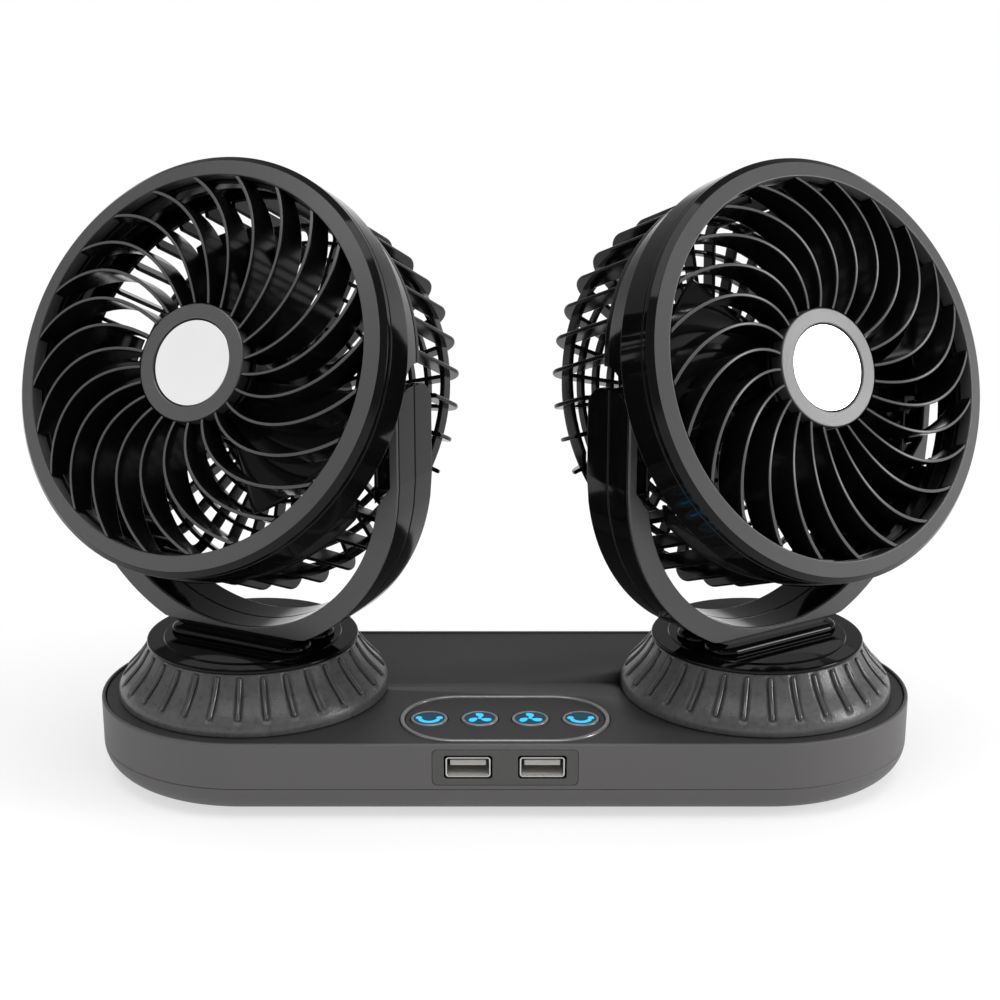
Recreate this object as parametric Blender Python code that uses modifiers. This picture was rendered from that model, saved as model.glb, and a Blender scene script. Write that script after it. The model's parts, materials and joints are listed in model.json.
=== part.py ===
"""Two tilting, swinging fan heads on one long base with touch keys and two USB sockets."""
import math

import bmesh
import bpy
from mathutils import Matrix

# Base: a stadium seen from above; the origin is the middle of the underside
BASE_LENGTH = 0.2600
BASE_DEPTH = 0.0978
BASE_HEIGHT = 0.0249
SEAM_HEIGHT = 0.0103
BASE_WALL = 0.0022
DECK_THICKNESS = 0.0020
RIM_WIDTH = 0.0012
PANEL_THICKNESS = 0.0012
PANEL_SET_DOWN = 0.0005
TRAY_CURVE = 0.0093
TRAY_FLOOR = 0.0022
PAD_THICKNESS = 0.0008
PAD_INSET = 0.0160

# Clearances shared by every seat, running fit and cut
GAP = 0.0003
OVERRUN = 0.0010

# Control field on the deck
FIELD_LENGTH = 0.0652
FIELD_DEPTH = 0.0358
FIELD_FRONT_MARGIN = 0.0029
TRIM_WIDTH = 0.0013
TRIM_PROUD = 0.0006
FIELD_LEDGE = 0.0022
KEY_PITCH = 0.0157
KEY_RADIUS = 0.0057
KEY_PROUD = 0.0004
KEY_FLANGE_LIP = 0.0006
KEY_FLANGE_THICKNESS = 0.0010
KEY_TRAVEL = 0.0008
KEY_STEM_RADIUS = 0.0016
KEY_STEM_LENGTH = 0.0016
KEY_EDGE = 0.0004

# Circuit board with one switch under each key
BOARD_LENGTH = 0.0640
BOARD_DEPTH = 0.0330
BOARD_THICKNESS = 0.0016
SWITCH_SIDE = 0.0060
SWITCH_PLUNGER_RADIUS = 0.0014
SWITCH_PLUNGER_HEIGHT = 0.0010
POST_RADIUS = 0.0030
POST_INSET = 0.0045

# USB sockets in the front wall
PLATE_LENGTH = 0.0440
PLATE_HEIGHT = 0.0115
PLATE_THICKNESS = 0.0018
PLATE_CORNER = 0.0015
USB_PITCH = 0.0224
USB_WIDTH = 0.0129
USB_HEIGHT = 0.0058
USB_WALL = 0.0004
USB_CLEARANCE = 0.0017
USB_CENTRE_HEIGHT = 0.01745
TONGUE_WIDTH = 0.0108
TONGUE_THICKNESS = 0.0017
TONGUE_SET_BACK = 0.0026
TONGUE_ROOT = 0.0020
TONGUE_RISE = 0.0012

# Power lead inlet in the rear wall
INLET_RADIUS = 0.0040
INLET_FLANGE = 0.0010
INLET_FLANGE_DEPTH = 0.0018
INLET_BORE = 0.0024
INLET_HEIGHT = 0.0156

# Pedestals: a ribbed skirt, a turntable on a hollow spindle and the swing drive
SKIRT_RADIUS = 0.0434
SKIRT_LIP_HEIGHT = 0.0014
SKIRT_NECK_RADIUS = 0.0332
SKIRT_HEIGHT = 0.0164
SKIRT_WALL = 0.0020
SKIRT_RIB_WIDTH = 0.0016
SKIRT_RIB_PROUD = 0.0005
SKIRT_RIB_COUNT = 30
DISC_RADIUS = 0.0338
DISC_THICKNESS = 0.0016
DISC_STEP_RADIUS = 0.0283
DISC_STEP = 0.0004
SPINDLE_RADIUS = 0.0076
SPINDLE_BORE = 0.0045
SPINDLE_FOOT = 0.0125
SWING_GEAR_BASE = 0.0146
SWING_GEAR_WIDTH = 0.0040
SWING_MODULE = 0.00125
SWING_GEAR_TEETH = 20
SWING_PINION_TEETH = 8
TOOTH_ADDENDUM = 0.75
TOOTH_DEDENDUM = 1.15
TOOTH_TIP_SHARE = 0.10
TOOTH_ROOT_SHARE = 0.30
SWING_MOTOR_RADIUS = 0.0092
SWING_SHAFT_RADIUS = 0.0015
SWING_SHAFT_LENGTH = 0.0050

# Yoke: a U clamped from a front and a rear shell, with a satin face and a cheek in each arm
ARM_SET_IN = 0.0035
ARM_THICKNESS = 0.0067
ARM_CENTRE_DROP = 0.0223
ARM_TOP_RISE = 0.0057
ARM_HALF_WIDTH = 0.0109
ARM_TOP_CORNER = 0.0080
FACE_THICKNESS = 0.0010
FACE_STRIP = 0.0026
FACE_BULB = 0.0030
FACE_BULB_DROP = 0.0010
SEAM_HALF_GAP = 0.00015
CHEEK_DEPTH = 0.0094
CHEEK_HALF_WIDTH = 0.0085
CHEEK_FOOT_DROP = 0.0074
CHEEK_SLOPE_RISE = 0.0063
CHEEK_SLOT_WIDTH = 0.0040
CHEEK_SLOT_DEPTH = 0.0022
CHEEK_SLOT_LENGTH = 0.0140
CHEEK_SLOT_DROP = 0.0180
FOOT_HALF_LENGTH = 0.0256
FOOT_HALF_WIDTH = 0.0135
FOOT_HEIGHT = 0.0038
FOOT_BITE = 0.0016

# Head: everything turned about the fan axis, w measured forward of the tilt pivot
TRUNNION_RADIUS = 0.0050
TRUNNION_SET_IN = 0.0035
WASHER_THICKNESS = 0.0009
WASHER_RADIUS = 0.0085
DUCT_CLEARANCE = 0.0015
DUCT_WALL = 0.0018
DUCT_REAR = -0.0090
DUCT_SIDE_ANGLE = 14.0
HEAD_RADIUS = 0.0642
BAND_WALL = 0.0020
BAND_FRONT = 0.0240
BAND_REAR = 0.0136
TAPER_FRONT_SET_IN = 0.0013
TAPER_REAR_SET_IN = 0.0023
TAPER_REAR = 0.0040
TAPER_WALL = 0.0019
WEB_THICKNESS = 0.0034
BEZEL_WIDTH = 0.0064
BEZEL_FRONT = 0.0293
BEZEL_OUTER_FRONT = 0.0280
BEZEL_CHAMFER = 0.0016
BEZEL_EDGE = 0.0009
GRILLE_RING_LIP = 0.0012
GRILLE_RING_DEPTH = 0.0050
VANE_COUNT = 24
VANE_STEPS = 4
VANE_FRONT = 0.0291
VANE_BULGE = 0.0038
VANE_DEPTH = 0.0085
VANE_THICKNESS = 0.0011
VANE_START_ANGLE = 10.0
VANE_SWEEP = 32.6
VANE_SWEEP_POWER = 1.65
HUB_RADIUS = 0.0180
HUB_MARGIN = 0.0012
HUB_DEPTH = 0.0065
BADGE_RADIUS = 0.0131
CAGE_FIN_COUNT = 36
CAGE_FIN_THICKNESS = 0.0013
CAGE_FIN_DEPTH = 0.0040
CAGE_SET_IN = 0.0004
CAGE_REAR = -0.0330
CAGE_CORNER = 0.0085
CAGE_REAR_DEPTH = 0.0055
CAGE_FLANGE = 0.0020
CAGE_FLANGE_WIDTH = 0.0034
CAGE_HOOP_SET_IN = 0.0032
CAGE_HOOP_THICKNESS = 0.0015
CAGE_HOOP_WIDTH = 0.0046
CAGE_HOOP_REAR = -0.0270
CUP_WALL = 0.0024
CUP_FRONT = -0.0120
MOTOR_RADIUS = 0.0180
MOTOR_FRONT = 0.0005
MOTOR_BOSS_RADIUS = 0.0050
MOTOR_BOSS = 0.0012
MOTOR_BORE_DEPTH = 0.0090
SHAFT_RADIUS = 0.0016
IMPELLER_REAR = 0.0035
IMPELLER_DEPTH = 0.0130
IMPELLER_HUB_RADIUS = 0.0145
BLADE_CLEARANCE = 0.0010
IMPELLER_BORE_DEPTH = 0.0095
BLADE_COUNT = 3
BLADE_THICKNESS = 0.0014
BLADE_RISE = 0.0100
BLADE_ROOT_SPAN = 64.0
BLADE_TIP_SPAN = 62.0

# Pose of each head and its impeller in the resting part, in degrees, and the tilt that the arms allow
LEFT_YAW = 26.79
LEFT_TILT = 24.32
LEFT_SPIN = 90.0
RIGHT_YAW = 33.19
RIGHT_TILT = 20.59
RIGHT_SPIN = 45.0
TILT_LOWEST = 0.0
TILT_HIGHEST = 35.0
SWEEP_HALF_WIDTH = 0.0126
SWEEP_CLEARANCE = 0.0012
SWEEP_REACH = 0.0800
SWEEP_DEEPEST = 75.0

# Facets
ROUND_STEPS = 36
MIDDLE_STEPS = 24
SMALL_STEPS = 12
YOKE_STEPS = 9
CORNER_STEPS = 2
END_STEPS = 9
CURVE_STEPS = 3
TOP_STEPS = 4
SWEEP_STEPS = 6
CUP_STEPS = 18
BLADE_STEPS = 4
BLADE_ROWS = 2
SHARP_ANGLE = 30.0

# Heights and radii that follow from the sizes above
HALF_LENGTH = BASE_LENGTH / 2
HALF_DEPTH = BASE_DEPTH / 2
PEDESTAL_X = HALF_LENGTH - HALF_DEPTH
PANEL_TOP = BASE_HEIGHT - PANEL_SET_DOWN
DECK_TOP = PANEL_TOP - PANEL_THICKNESS - GAP
DECK_UNDER = DECK_TOP - DECK_THICKNESS
FIELD_Y = -HALF_DEPTH + FIELD_FRONT_MARGIN + FIELD_DEPTH / 2
USB_BOTTOM = USB_CENTRE_HEIGHT - USB_HEIGHT / 2 - USB_WALL
BOARD_TOP = USB_BOTTOM - GAP
SKIRT_BASE = PANEL_TOP + GAP
SKIRT_TOP = SKIRT_BASE + SKIRT_HEIGHT
DISC_UNDER = SKIRT_TOP + GAP
DISC_TOP = DISC_UNDER + DISC_THICKNESS
FOOT_UNDER = DISC_TOP + GAP
FLOOR_TOP = PAD_THICKNESS + GAP + TRAY_FLOOR
KEY_FLANGE_TOP = DECK_TOP - GAP
KEY_FLANGE_UNDER = KEY_FLANGE_TOP - KEY_FLANGE_THICKNESS
KEY_FOOT = KEY_FLANGE_UNDER - KEY_STEM_LENGTH
SWITCH_TOP = KEY_FOOT - KEY_TRAVEL - GAP
FACE_REAR = ARM_HALF_WIDTH - FACE_THICKNESS
SHELL_HALF_WIDTH = FACE_REAR - GAP
ARM_OUTER = HEAD_RADIUS - ARM_SET_IN
ARM_INNER = ARM_OUTER - ARM_THICKNESS
PIVOT_HEIGHT = FOOT_UNDER - FOOT_BITE + ARM_OUTER + ARM_CENTRE_DROP
CHEEK_OUTER = ARM_OUTER - FACE_STRIP - GAP
CHEEK_INNER = ARM_OUTER - CHEEK_DEPTH
CHEEK_SLOPE_BOTTOM = ARM_CENTRE_DROP + CHEEK_FOOT_DROP
CHEEK_SLOPE_TOP = CHEEK_SLOPE_BOTTOM - CHEEK_SLOPE_RISE
TRUNNION_END = ARM_OUTER - TRUNNION_SET_IN
DUCT_OUTER = CHEEK_INNER - DUCT_CLEARANCE
DUCT_INNER = DUCT_OUTER - DUCT_WALL
TAPER_FRONT_RADIUS = HEAD_RADIUS - TAPER_FRONT_SET_IN
TAPER_REAR_RADIUS = HEAD_RADIUS - TAPER_REAR_SET_IN
BEZEL_BORE = HEAD_RADIUS - BEZEL_WIDTH
BEZEL_FACE_RADIUS = HEAD_RADIUS - BEZEL_CHAMFER
GRILLE_RING_BORE = BEZEL_BORE - GRILLE_RING_LIP
IMPELLER_RADIUS = DUCT_INNER - BLADE_CLEARANCE
CAGE_RADIUS = TAPER_REAR_RADIUS - CAGE_SET_IN
CAGE_HOOP_RADIUS = CAGE_RADIUS - CAGE_HOOP_SET_IN
CUP_INNER = MOTOR_RADIUS + GAP
CUP_OUTER = CUP_INNER + CUP_WALL
CAGE_FRONT = TAPER_REAR - GAP
HUB_FRONT = BAND_FRONT + GAP

LEAD = (("left", -1, LEFT_YAW, LEFT_TILT, LEFT_SPIN), ("right", 1, RIGHT_YAW, RIGHT_TILT, RIGHT_SPIN))
# Turns: outlines stood upright, and side views carried across from arm to arm
UPRIGHT = Matrix.Rotation(math.pi / 2, 4, "X")
ACROSS = Matrix(((0, 0, 1, 0), (0, 1, 0, 0), (1, 0, 0, 0), (0, 0, 0, 1)))


# Colour and finish of each kind of piece: sRGB colour, roughness, metallic
LOOKS = {
    "matte_grey": ((0.36, 0.35, 0.35), 0.55, 0.0),
    "satin_grey": ((0.42, 0.42, 0.42), 0.38, 0.6),
    "skirt_grey": ((0.31, 0.31, 0.31), 0.60, 0.1),
    "gloss_black": ((0.045, 0.045, 0.045), 0.12, 0.0),
    "panel_black": ((0.16, 0.16, 0.16), 0.18, 0.0),
    "grille_black": ((0.05, 0.05, 0.05), 0.30, 0.0),
    "chrome": ((0.72, 0.72, 0.72), 0.10, 1.0),
    "mirror": ((0.90, 0.90, 0.90), 0.03, 1.0),
    "key_blue": ((0.16, 0.71, 0.96), 0.25, 0.0),
    "plate_grey": ((0.30, 0.30, 0.30), 0.50, 0.0),
    "tongue": ((0.78, 0.78, 0.76), 0.50, 0.0),
    "board_green": ((0.05, 0.25, 0.12), 0.50, 0.0),
    "rubber": ((0.06, 0.06, 0.06), 0.80, 0.0),
    "nylon": ((0.82, 0.80, 0.74), 0.50, 0.0),
    "steel": ((0.60, 0.60, 0.60), 0.35, 1.0),
}


def linear(value):
    """One sRGB channel as a linear value."""
    return value / 12.92 if value <= 0.04045 else ((value + 0.055) / 1.055) ** 2.4


def material(name, look):
    colour, roughness, metallic = LOOKS[look]
    made = bpy.data.materials.new(name)
    made.use_nodes = True
    shader = made.node_tree.nodes["Principled BSDF"]
    shader.inputs["Base Color"].default_value = [linear(c) for c in colour] + [1.0]
    shader.inputs["Roughness"].default_value = roughness
    shader.inputs["Metallic"].default_value = metallic
    return made


def collection(name):
    made = bpy.data.collections.new(name)
    bpy.context.scene.collection.children.link(made)
    return made


def empty(name, parent=None, location=(0, 0, 0), rotation=(0, 0, 0)):
    """A joint's own frame: pieces that turn about it are parented to it."""
    made = bpy.data.objects.new(name, None)
    made.empty_display_size = GAP
    made.parent = parent
    made.location = location
    made.rotation_euler = rotation
    bpy.data.collections["dual_head_car_fan"].objects.link(made)
    return made


def part(name, mesh, look, parent=None, location=(0, 0, 0)):
    made = bpy.data.objects.new(name, mesh)
    mesh.materials.append(material(name, look))
    made.parent = parent
    made.location = location
    bpy.data.collections["dual_head_car_fan"].objects.link(made)
    return made


def tool(name, mesh, parent=None, location=(0, 0, 0)):
    """A shape that is only added to, or taken from, a piece."""
    made = bpy.data.objects.new(name, mesh)
    made.parent = parent
    made.location = location
    made.hide_render = True
    made.display_type = "WIRE"
    bpy.data.collections["cutters"].objects.link(made)
    return made


def boolean(piece, operation, other):
    modifier = piece.modifiers.new(operation.lower() + "_" + other.name, "BOOLEAN")
    modifier.operation = operation
    modifier.object = other
    return modifier


def arc(cx, cy, radius, start, end, steps):
    """Points along an arc, in degrees, both ends included."""
    angles = [math.radians(start + (end - start) * i / steps) for i in range(steps + 1)]
    return [(cx + radius * math.cos(a), cy + radius * math.sin(a)) for a in angles]


def stadium(half_length, radius, cy=0):
    """A rectangle with half-round ends, counter-clockwise."""
    straight = half_length - radius
    right = arc(straight, cy, radius, -90, 90, END_STEPS)
    return right + arc(-straight, cy, radius, 90, 270, END_STEPS)


def rounded_box(half_x, half_y, radius, cx=0, cy=0):
    points = []
    for sx, sy, start in ((1, 1, 0), (-1, 1, 90), (-1, -1, 180), (1, -1, 270)):
        corner = (cx + sx * (half_x - radius), cy + sy * (half_y - radius))
        points += arc(*corner, radius, start, start + 90, CORNER_STEPS)
    return points


def finish(bm, name, smooth=True):
    bmesh.ops.recalc_face_normals(bm, faces=bm.faces)
    mesh = bpy.data.meshes.new(name)
    bm.to_mesh(mesh)
    bm.free()
    if smooth:
        mesh.shade_smooth()
        mesh.set_sharp_from_angle(angle=math.radians(SHARP_ANGLE))
    return mesh


def add_prism(bm, outline, low, high, matrix=None):
    """An outline in X and Y, given thickness from low to high along Z."""
    start = [bm.verts.new((x, y, low)) for x, y in outline]
    face = bm.faces.new(start)
    raised = bmesh.ops.extrude_face_region(bm, geom=[face])["geom"]
    top = [item for item in raised if isinstance(item, bmesh.types.BMVert)]
    bmesh.ops.translate(bm, verts=top, vec=(0, 0, high - low))
    if matrix is not None:
        bmesh.ops.transform(bm, verts=start + top, matrix=matrix)


def prism(name, outline, low, high, matrix=None):
    bm = bmesh.new()
    add_prism(bm, outline, low, high, matrix)
    return finish(bm, name)


def box(name, low, high):
    bm = bmesh.new()
    made = bmesh.ops.create_cube(bm, size=1)["verts"]
    size = [b - a for a, b in zip(low, high)]
    centre = [(a + b) / 2 for a, b in zip(low, high)]
    bmesh.ops.scale(bm, verts=made, vec=size)
    bmesh.ops.translate(bm, verts=made, vec=centre)
    return finish(bm, name)


def add_rod(bm, radius, low, high, matrix=None, steps=SMALL_STEPS):
    made = bmesh.ops.create_cone(
        bm, cap_ends=True, segments=steps, radius1=radius, radius2=radius, depth=high - low)["verts"]
    bmesh.ops.translate(bm, verts=made, vec=(0, 0, (low + high) / 2))
    if matrix is not None:
        bmesh.ops.transform(bm, verts=made, matrix=matrix)


def rod(name, radius, low, high, matrix=None, steps=SMALL_STEPS):
    bm = bmesh.new()
    add_rod(bm, radius, low, high, matrix, steps)
    return finish(bm, name)


def profile(name, points, closed):
    """A turned piece's section, radius along X and height along Z."""
    mesh = bpy.data.meshes.new(name)
    edges = [(i, i + 1) for i in range(len(points) - 1)]
    if closed:
        edges.append((len(points) - 1, 0))
    mesh.from_pydata([(r, 0, z) for r, z in points], edges, [])
    return mesh


def turn(piece, steps=ROUND_STEPS):
    """The section carried round Z."""
    modifier = piece.modifiers.new("turned", "SCREW")
    modifier.steps = steps
    modifier.render_steps = steps
    modifier.use_merge_vertices = True
    modifier.merge_threshold = GAP / 100
    modifier.use_smooth_shade = True
    return piece


def ring(outer, inner, top, bottom):
    return [(outer, top), (outer, bottom), (inner, bottom), (inner, top)]


def loft(name, levels):
    """Stadium outlines at (inset, height), joined in order, with the first and last capped."""
    bm = bmesh.new()
    loops = []
    for inset, height in levels:
        points = stadium(HALF_LENGTH - inset, HALF_DEPTH - inset)
        loops.append([bm.verts.new((x, y, height)) for x, y in points])
    for lower, upper in zip(loops, loops[1:]):
        for a, b, c, d in zip(lower, lower[1:] + lower[:1], upper[1:] + upper[:1], upper):
            bm.faces.new((a, b, c, d))
    bm.faces.new(loops[0])
    bm.faces.new(loops[-1])
    return finish(bm, name)


def key_places():
    return [KEY_PITCH * (i - 1.5) for i in range(4)]


def usb_places():
    return (("left", -USB_PITCH / 2), ("right", USB_PITCH / 2))


def make_tray():
    """Lower half of the base: a dish with a rounded underside and posts for the board."""
    base = PAD_THICKNESS + GAP
    rise = SEAM_HEIGHT - GAP - base
    outer = [(TRAY_CURVE * (1 - math.sin(a)), base + rise * (1 - math.cos(a)))
             for a in (math.pi / 2 * i / CURVE_STEPS for i in range(CURVE_STEPS + 1))]
    inner = [(inset + BASE_WALL, max(height, FLOOR_TOP)) for inset, height in reversed(outer)]
    tray = part("base_tray", loft("base_tray", outer + inner[:-1]), "matte_grey")
    posts = bmesh.new()
    for sx in (-1, 1):
        for sy in (-1, 1):
            place = Matrix.Translation((sx * (BOARD_LENGTH / 2 - POST_INSET), board_y()
                                        + sy * (BOARD_DEPTH / 2 - POST_INSET), 0))
            low = FLOOR_TOP - TRAY_FLOOR / 2
            add_rod(posts, POST_RADIUS, low, BOARD_TOP - BOARD_THICKNESS - GAP, place)
    for _, side, _, _, _ in LEAD:
        place = Matrix.Translation((side * (PEDESTAL_X - gear_centres()), 0, 0))
        add_rod(posts, SWING_MOTOR_RADIUS / 2, FLOOR_TOP - TRAY_FLOOR / 2, motor_foot() - GAP, place)
    boolean(tray, "UNION", tool("tray_posts", finish(posts, "tray_posts")))


def board_y():
    return -HALF_DEPTH + PLATE_THICKNESS + BASE_WALL + BOARD_DEPTH / 2


def motor_foot():
    return FLOOR_TOP + TRAY_FLOOR / 2 + GAP


def gear_centres():
    return SWING_MODULE * (SWING_GEAR_TEETH + SWING_PINION_TEETH) / 2


def make_housing():
    """Upper half of the base: wall, rim and sunk deck, open below."""
    levels = [(RIM_WIDTH, DECK_TOP), (RIM_WIDTH, BASE_HEIGHT), (0, BASE_HEIGHT), (0, SEAM_HEIGHT),
              (BASE_WALL, SEAM_HEIGHT), (BASE_WALL, DECK_UNDER)]
    housing = part("base_housing", loft("base_housing", levels), "matte_grey")
    cuts = bmesh.new()
    window = stadium(FIELD_LENGTH / 2 - FIELD_LEDGE, FIELD_DEPTH / 2 - FIELD_LEDGE, FIELD_Y)
    add_prism(cuts, window, DECK_UNDER - OVERRUN, DECK_TOP + OVERRUN)
    for side in (-1, 1):
        place = Matrix.Translation((side * PEDESTAL_X, 0, 0))
        add_rod(cuts, SPINDLE_RADIUS + GAP, DECK_UNDER - OVERRUN, DECK_TOP + OVERRUN, place)
    slot = rounded_box(PLATE_LENGTH / 2 + GAP, PLATE_HEIGHT + GAP, PLATE_CORNER,
                       cy=USB_CENTRE_HEIGHT - PLATE_HEIGHT / 2)
    add_prism(cuts, slot, HALF_DEPTH - BASE_WALL - OVERRUN, HALF_DEPTH + OVERRUN, UPRIGHT)
    lead = Matrix.Translation((0, 0, INLET_HEIGHT)) @ UPRIGHT
    add_rod(cuts, INLET_RADIUS + GAP, -HALF_DEPTH - OVERRUN, -HALF_DEPTH + BASE_WALL + OVERRUN, lead)
    boolean(housing, "DIFFERENCE", tool("housing_cuts", finish(cuts, "housing_cuts")))


def make_deck_pieces():
    """Glossy panel, chrome trim, key plate, keys and the rubber foot."""
    inset = RIM_WIDTH + GAP
    panel_low = DECK_TOP + GAP
    panel = part("top_panel", prism("top_panel", stadium(HALF_LENGTH - inset, HALF_DEPTH - inset),
                                    panel_low, PANEL_TOP), "panel_black")
    holes = bmesh.new()
    window = stadium(FIELD_LENGTH / 2 + GAP, FIELD_DEPTH / 2 + GAP, FIELD_Y)
    add_prism(holes, window, panel_low - OVERRUN, PANEL_TOP + OVERRUN)
    for side in (-1, 1):
        place = Matrix.Translation((side * PEDESTAL_X, 0, 0))
        add_rod(holes, SPINDLE_RADIUS + OVERRUN, panel_low - OVERRUN, PANEL_TOP + OVERRUN, place)
    boolean(panel, "DIFFERENCE", tool("panel_holes", finish(holes, "panel_holes")))

    trim = part("control_trim", prism("control_trim", stadium(FIELD_LENGTH / 2, FIELD_DEPTH / 2, FIELD_Y),
                                      panel_low, PANEL_TOP + TRIM_PROUD), "chrome")
    inner = stadium(FIELD_LENGTH / 2 - TRIM_WIDTH, FIELD_DEPTH / 2 - TRIM_WIDTH, FIELD_Y)
    opening = prism("trim_opening", inner, panel_low - OVERRUN, PANEL_TOP + TRIM_PROUD + OVERRUN)
    boolean(trim, "DIFFERENCE", tool("trim_opening", opening))

    edge = TRIM_WIDTH + GAP
    plate = part("control_plate", prism("control_plate", stadium(
        FIELD_LENGTH / 2 - edge, FIELD_DEPTH / 2 - edge, FIELD_Y), panel_low, PANEL_TOP), "gloss_black")
    bores = bmesh.new()
    for x in key_places():
        place = Matrix.Translation((x, FIELD_Y, 0))
        add_rod(bores, KEY_RADIUS + GAP, panel_low - OVERRUN, PANEL_TOP + OVERRUN, place)
    boolean(plate, "DIFFERENCE", tool("key_bores", finish(bores, "key_bores")))

    top = PANEL_TOP + KEY_PROUD
    flange = KEY_RADIUS + KEY_FLANGE_LIP
    section = [(0, top), (KEY_RADIUS - KEY_EDGE, top), (KEY_RADIUS, top - KEY_EDGE),
               (KEY_RADIUS, KEY_FLANGE_TOP), (flange, KEY_FLANGE_TOP), (flange, KEY_FLANGE_UNDER),
               (KEY_STEM_RADIUS, KEY_FLANGE_UNDER), (KEY_STEM_RADIUS, KEY_FOOT), (0, KEY_FOOT)]
    names = ("key_swing_left", "key_speed_left", "key_speed_right", "key_swing_right")
    for name, x in zip(names, key_places()):
        turn(part(name, profile(name, section, False), "key_blue", None, (x, FIELD_Y, 0)), SMALL_STEPS)

    pad = stadium(HALF_LENGTH - PAD_INSET, HALF_DEPTH - PAD_INSET)
    part("grip_pad", prism("grip_pad", pad, 0, PAD_THICKNESS), "rubber")


def make_electronics():
    """Circuit board with its switches, the socket plate, both sockets and the lead inlet."""
    y = board_y()
    low = (-BOARD_LENGTH / 2, y - BOARD_DEPTH / 2, BOARD_TOP - BOARD_THICKNESS)
    high = (BOARD_LENGTH / 2, y + BOARD_DEPTH / 2, BOARD_TOP)
    board = part("circuit_board", box("circuit_board", low, high), "board_green")
    switches = bmesh.new()
    body_top = SWITCH_TOP - SWITCH_PLUNGER_HEIGHT
    for x in key_places():
        place = Matrix.Translation((x, FIELD_Y, 0))
        half = SWITCH_SIDE / 2
        body = [(-half, -half), (half, -half), (half, half), (-half, half)]
        add_prism(switches, body, BOARD_TOP - BOARD_THICKNESS / 2, body_top, place)
    boolean(board, "UNION", tool("switch_bodies", finish(switches, "switch_bodies")))
    plungers = bmesh.new()
    for x in key_places():
        place = Matrix.Translation((x, FIELD_Y, 0))
        add_rod(plungers, SWITCH_PLUNGER_RADIUS, body_top - SWITCH_PLUNGER_HEIGHT, SWITCH_TOP, place)
    boolean(board, "UNION", tool("switch_plungers", finish(plungers, "switch_plungers")))

    outline = rounded_box(PLATE_LENGTH / 2, PLATE_HEIGHT / 2, PLATE_CORNER, cy=USB_CENTRE_HEIGHT)
    plate_rear = HALF_DEPTH - PLATE_THICKNESS
    plate = part("usb_faceplate", prism("usb_faceplate", outline, plate_rear, HALF_DEPTH, UPRIGHT),
                 "plate_grey")
    mouths = bmesh.new()
    for _, x in usb_places():
        mouth = rounded_box(USB_WIDTH / 2, USB_HEIGHT / 2, USB_WALL, x, USB_CENTRE_HEIGHT)
        add_prism(mouths, mouth, plate_rear - OVERRUN, HALF_DEPTH + OVERRUN, UPRIGHT)
    boolean(plate, "DIFFERENCE", tool("usb_mouths", finish(mouths, "usb_mouths")))

    front = plate_rear - GAP
    back = SWITCH_SIDE / 2 - FIELD_Y + USB_CLEARANCE
    for side, x in usb_places():
        outer = rounded_box(USB_WIDTH / 2 + USB_WALL, USB_HEIGHT / 2 + USB_WALL, USB_WALL,
                            x, USB_CENTRE_HEIGHT)
        shell = part("usb_shell_" + side, prism("usb_shell_" + side, outer, back, front, UPRIGHT), "steel")
        hollow = rounded_box(USB_WIDTH / 2, USB_HEIGHT / 2, USB_WALL / 2, x, USB_CENTRE_HEIGHT)
        name = "usb_hollow_" + side
        boolean(shell, "DIFFERENCE", tool(name, prism(name, hollow, back + USB_WALL, front + OVERRUN,
                                                      UPRIGHT)))
        root_low = back + USB_WALL + GAP
        root = rounded_box(USB_WIDTH / 2 - GAP, USB_HEIGHT / 2 - GAP, USB_WALL / 2, x, USB_CENTRE_HEIGHT)
        tongue = part("usb_tongue_" + side, prism("usb_tongue_" + side, root, root_low,
                                                  root_low + TONGUE_ROOT, UPRIGHT), "tongue")
        blade = rounded_box(TONGUE_WIDTH / 2, TONGUE_THICKNESS / 2, USB_WALL / 2, x,
                            USB_CENTRE_HEIGHT + TONGUE_RISE)
        name = "usb_blade_" + side
        boolean(tongue, "UNION", tool(name, prism(name, blade, root_low + TONGUE_ROOT / 2,
                                                  front - TONGUE_SET_BACK, UPRIGHT)))

    flange = INLET_RADIUS + INLET_FLANGE
    outside = GAP + INLET_FLANGE_DEPTH
    inside = -BASE_WALL - GAP - INLET_FLANGE_DEPTH
    section = [(flange, outside), (flange, GAP), (INLET_RADIUS, GAP), (INLET_RADIUS, -BASE_WALL - GAP),
               (flange, -BASE_WALL - GAP), (flange, inside), (INLET_BORE, inside), (INLET_BORE, outside)]
    inlet = part("lead_inlet", profile("lead_inlet", section, True), "rubber", None,
                 (0, HALF_DEPTH, INLET_HEIGHT))
    inlet.rotation_euler = (-math.pi / 2, 0, 0)
    turn(inlet, SMALL_STEPS)


def skirt_flare():
    """The side of the skirt, a cone that rounds over into the lip, from the neck down."""
    reach = SKIRT_RADIUS - SKIRT_NECK_RADIUS
    drop = SKIRT_HEIGHT - SKIRT_LIP_HEIGHT
    shares = ((0.00, 0.00), (0.42, 0.40), (0.88, 0.80), (1.00, 1.00))
    return [(SKIRT_NECK_RADIUS + reach * across, SKIRT_TOP - drop * down) for across, down in shares]


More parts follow.
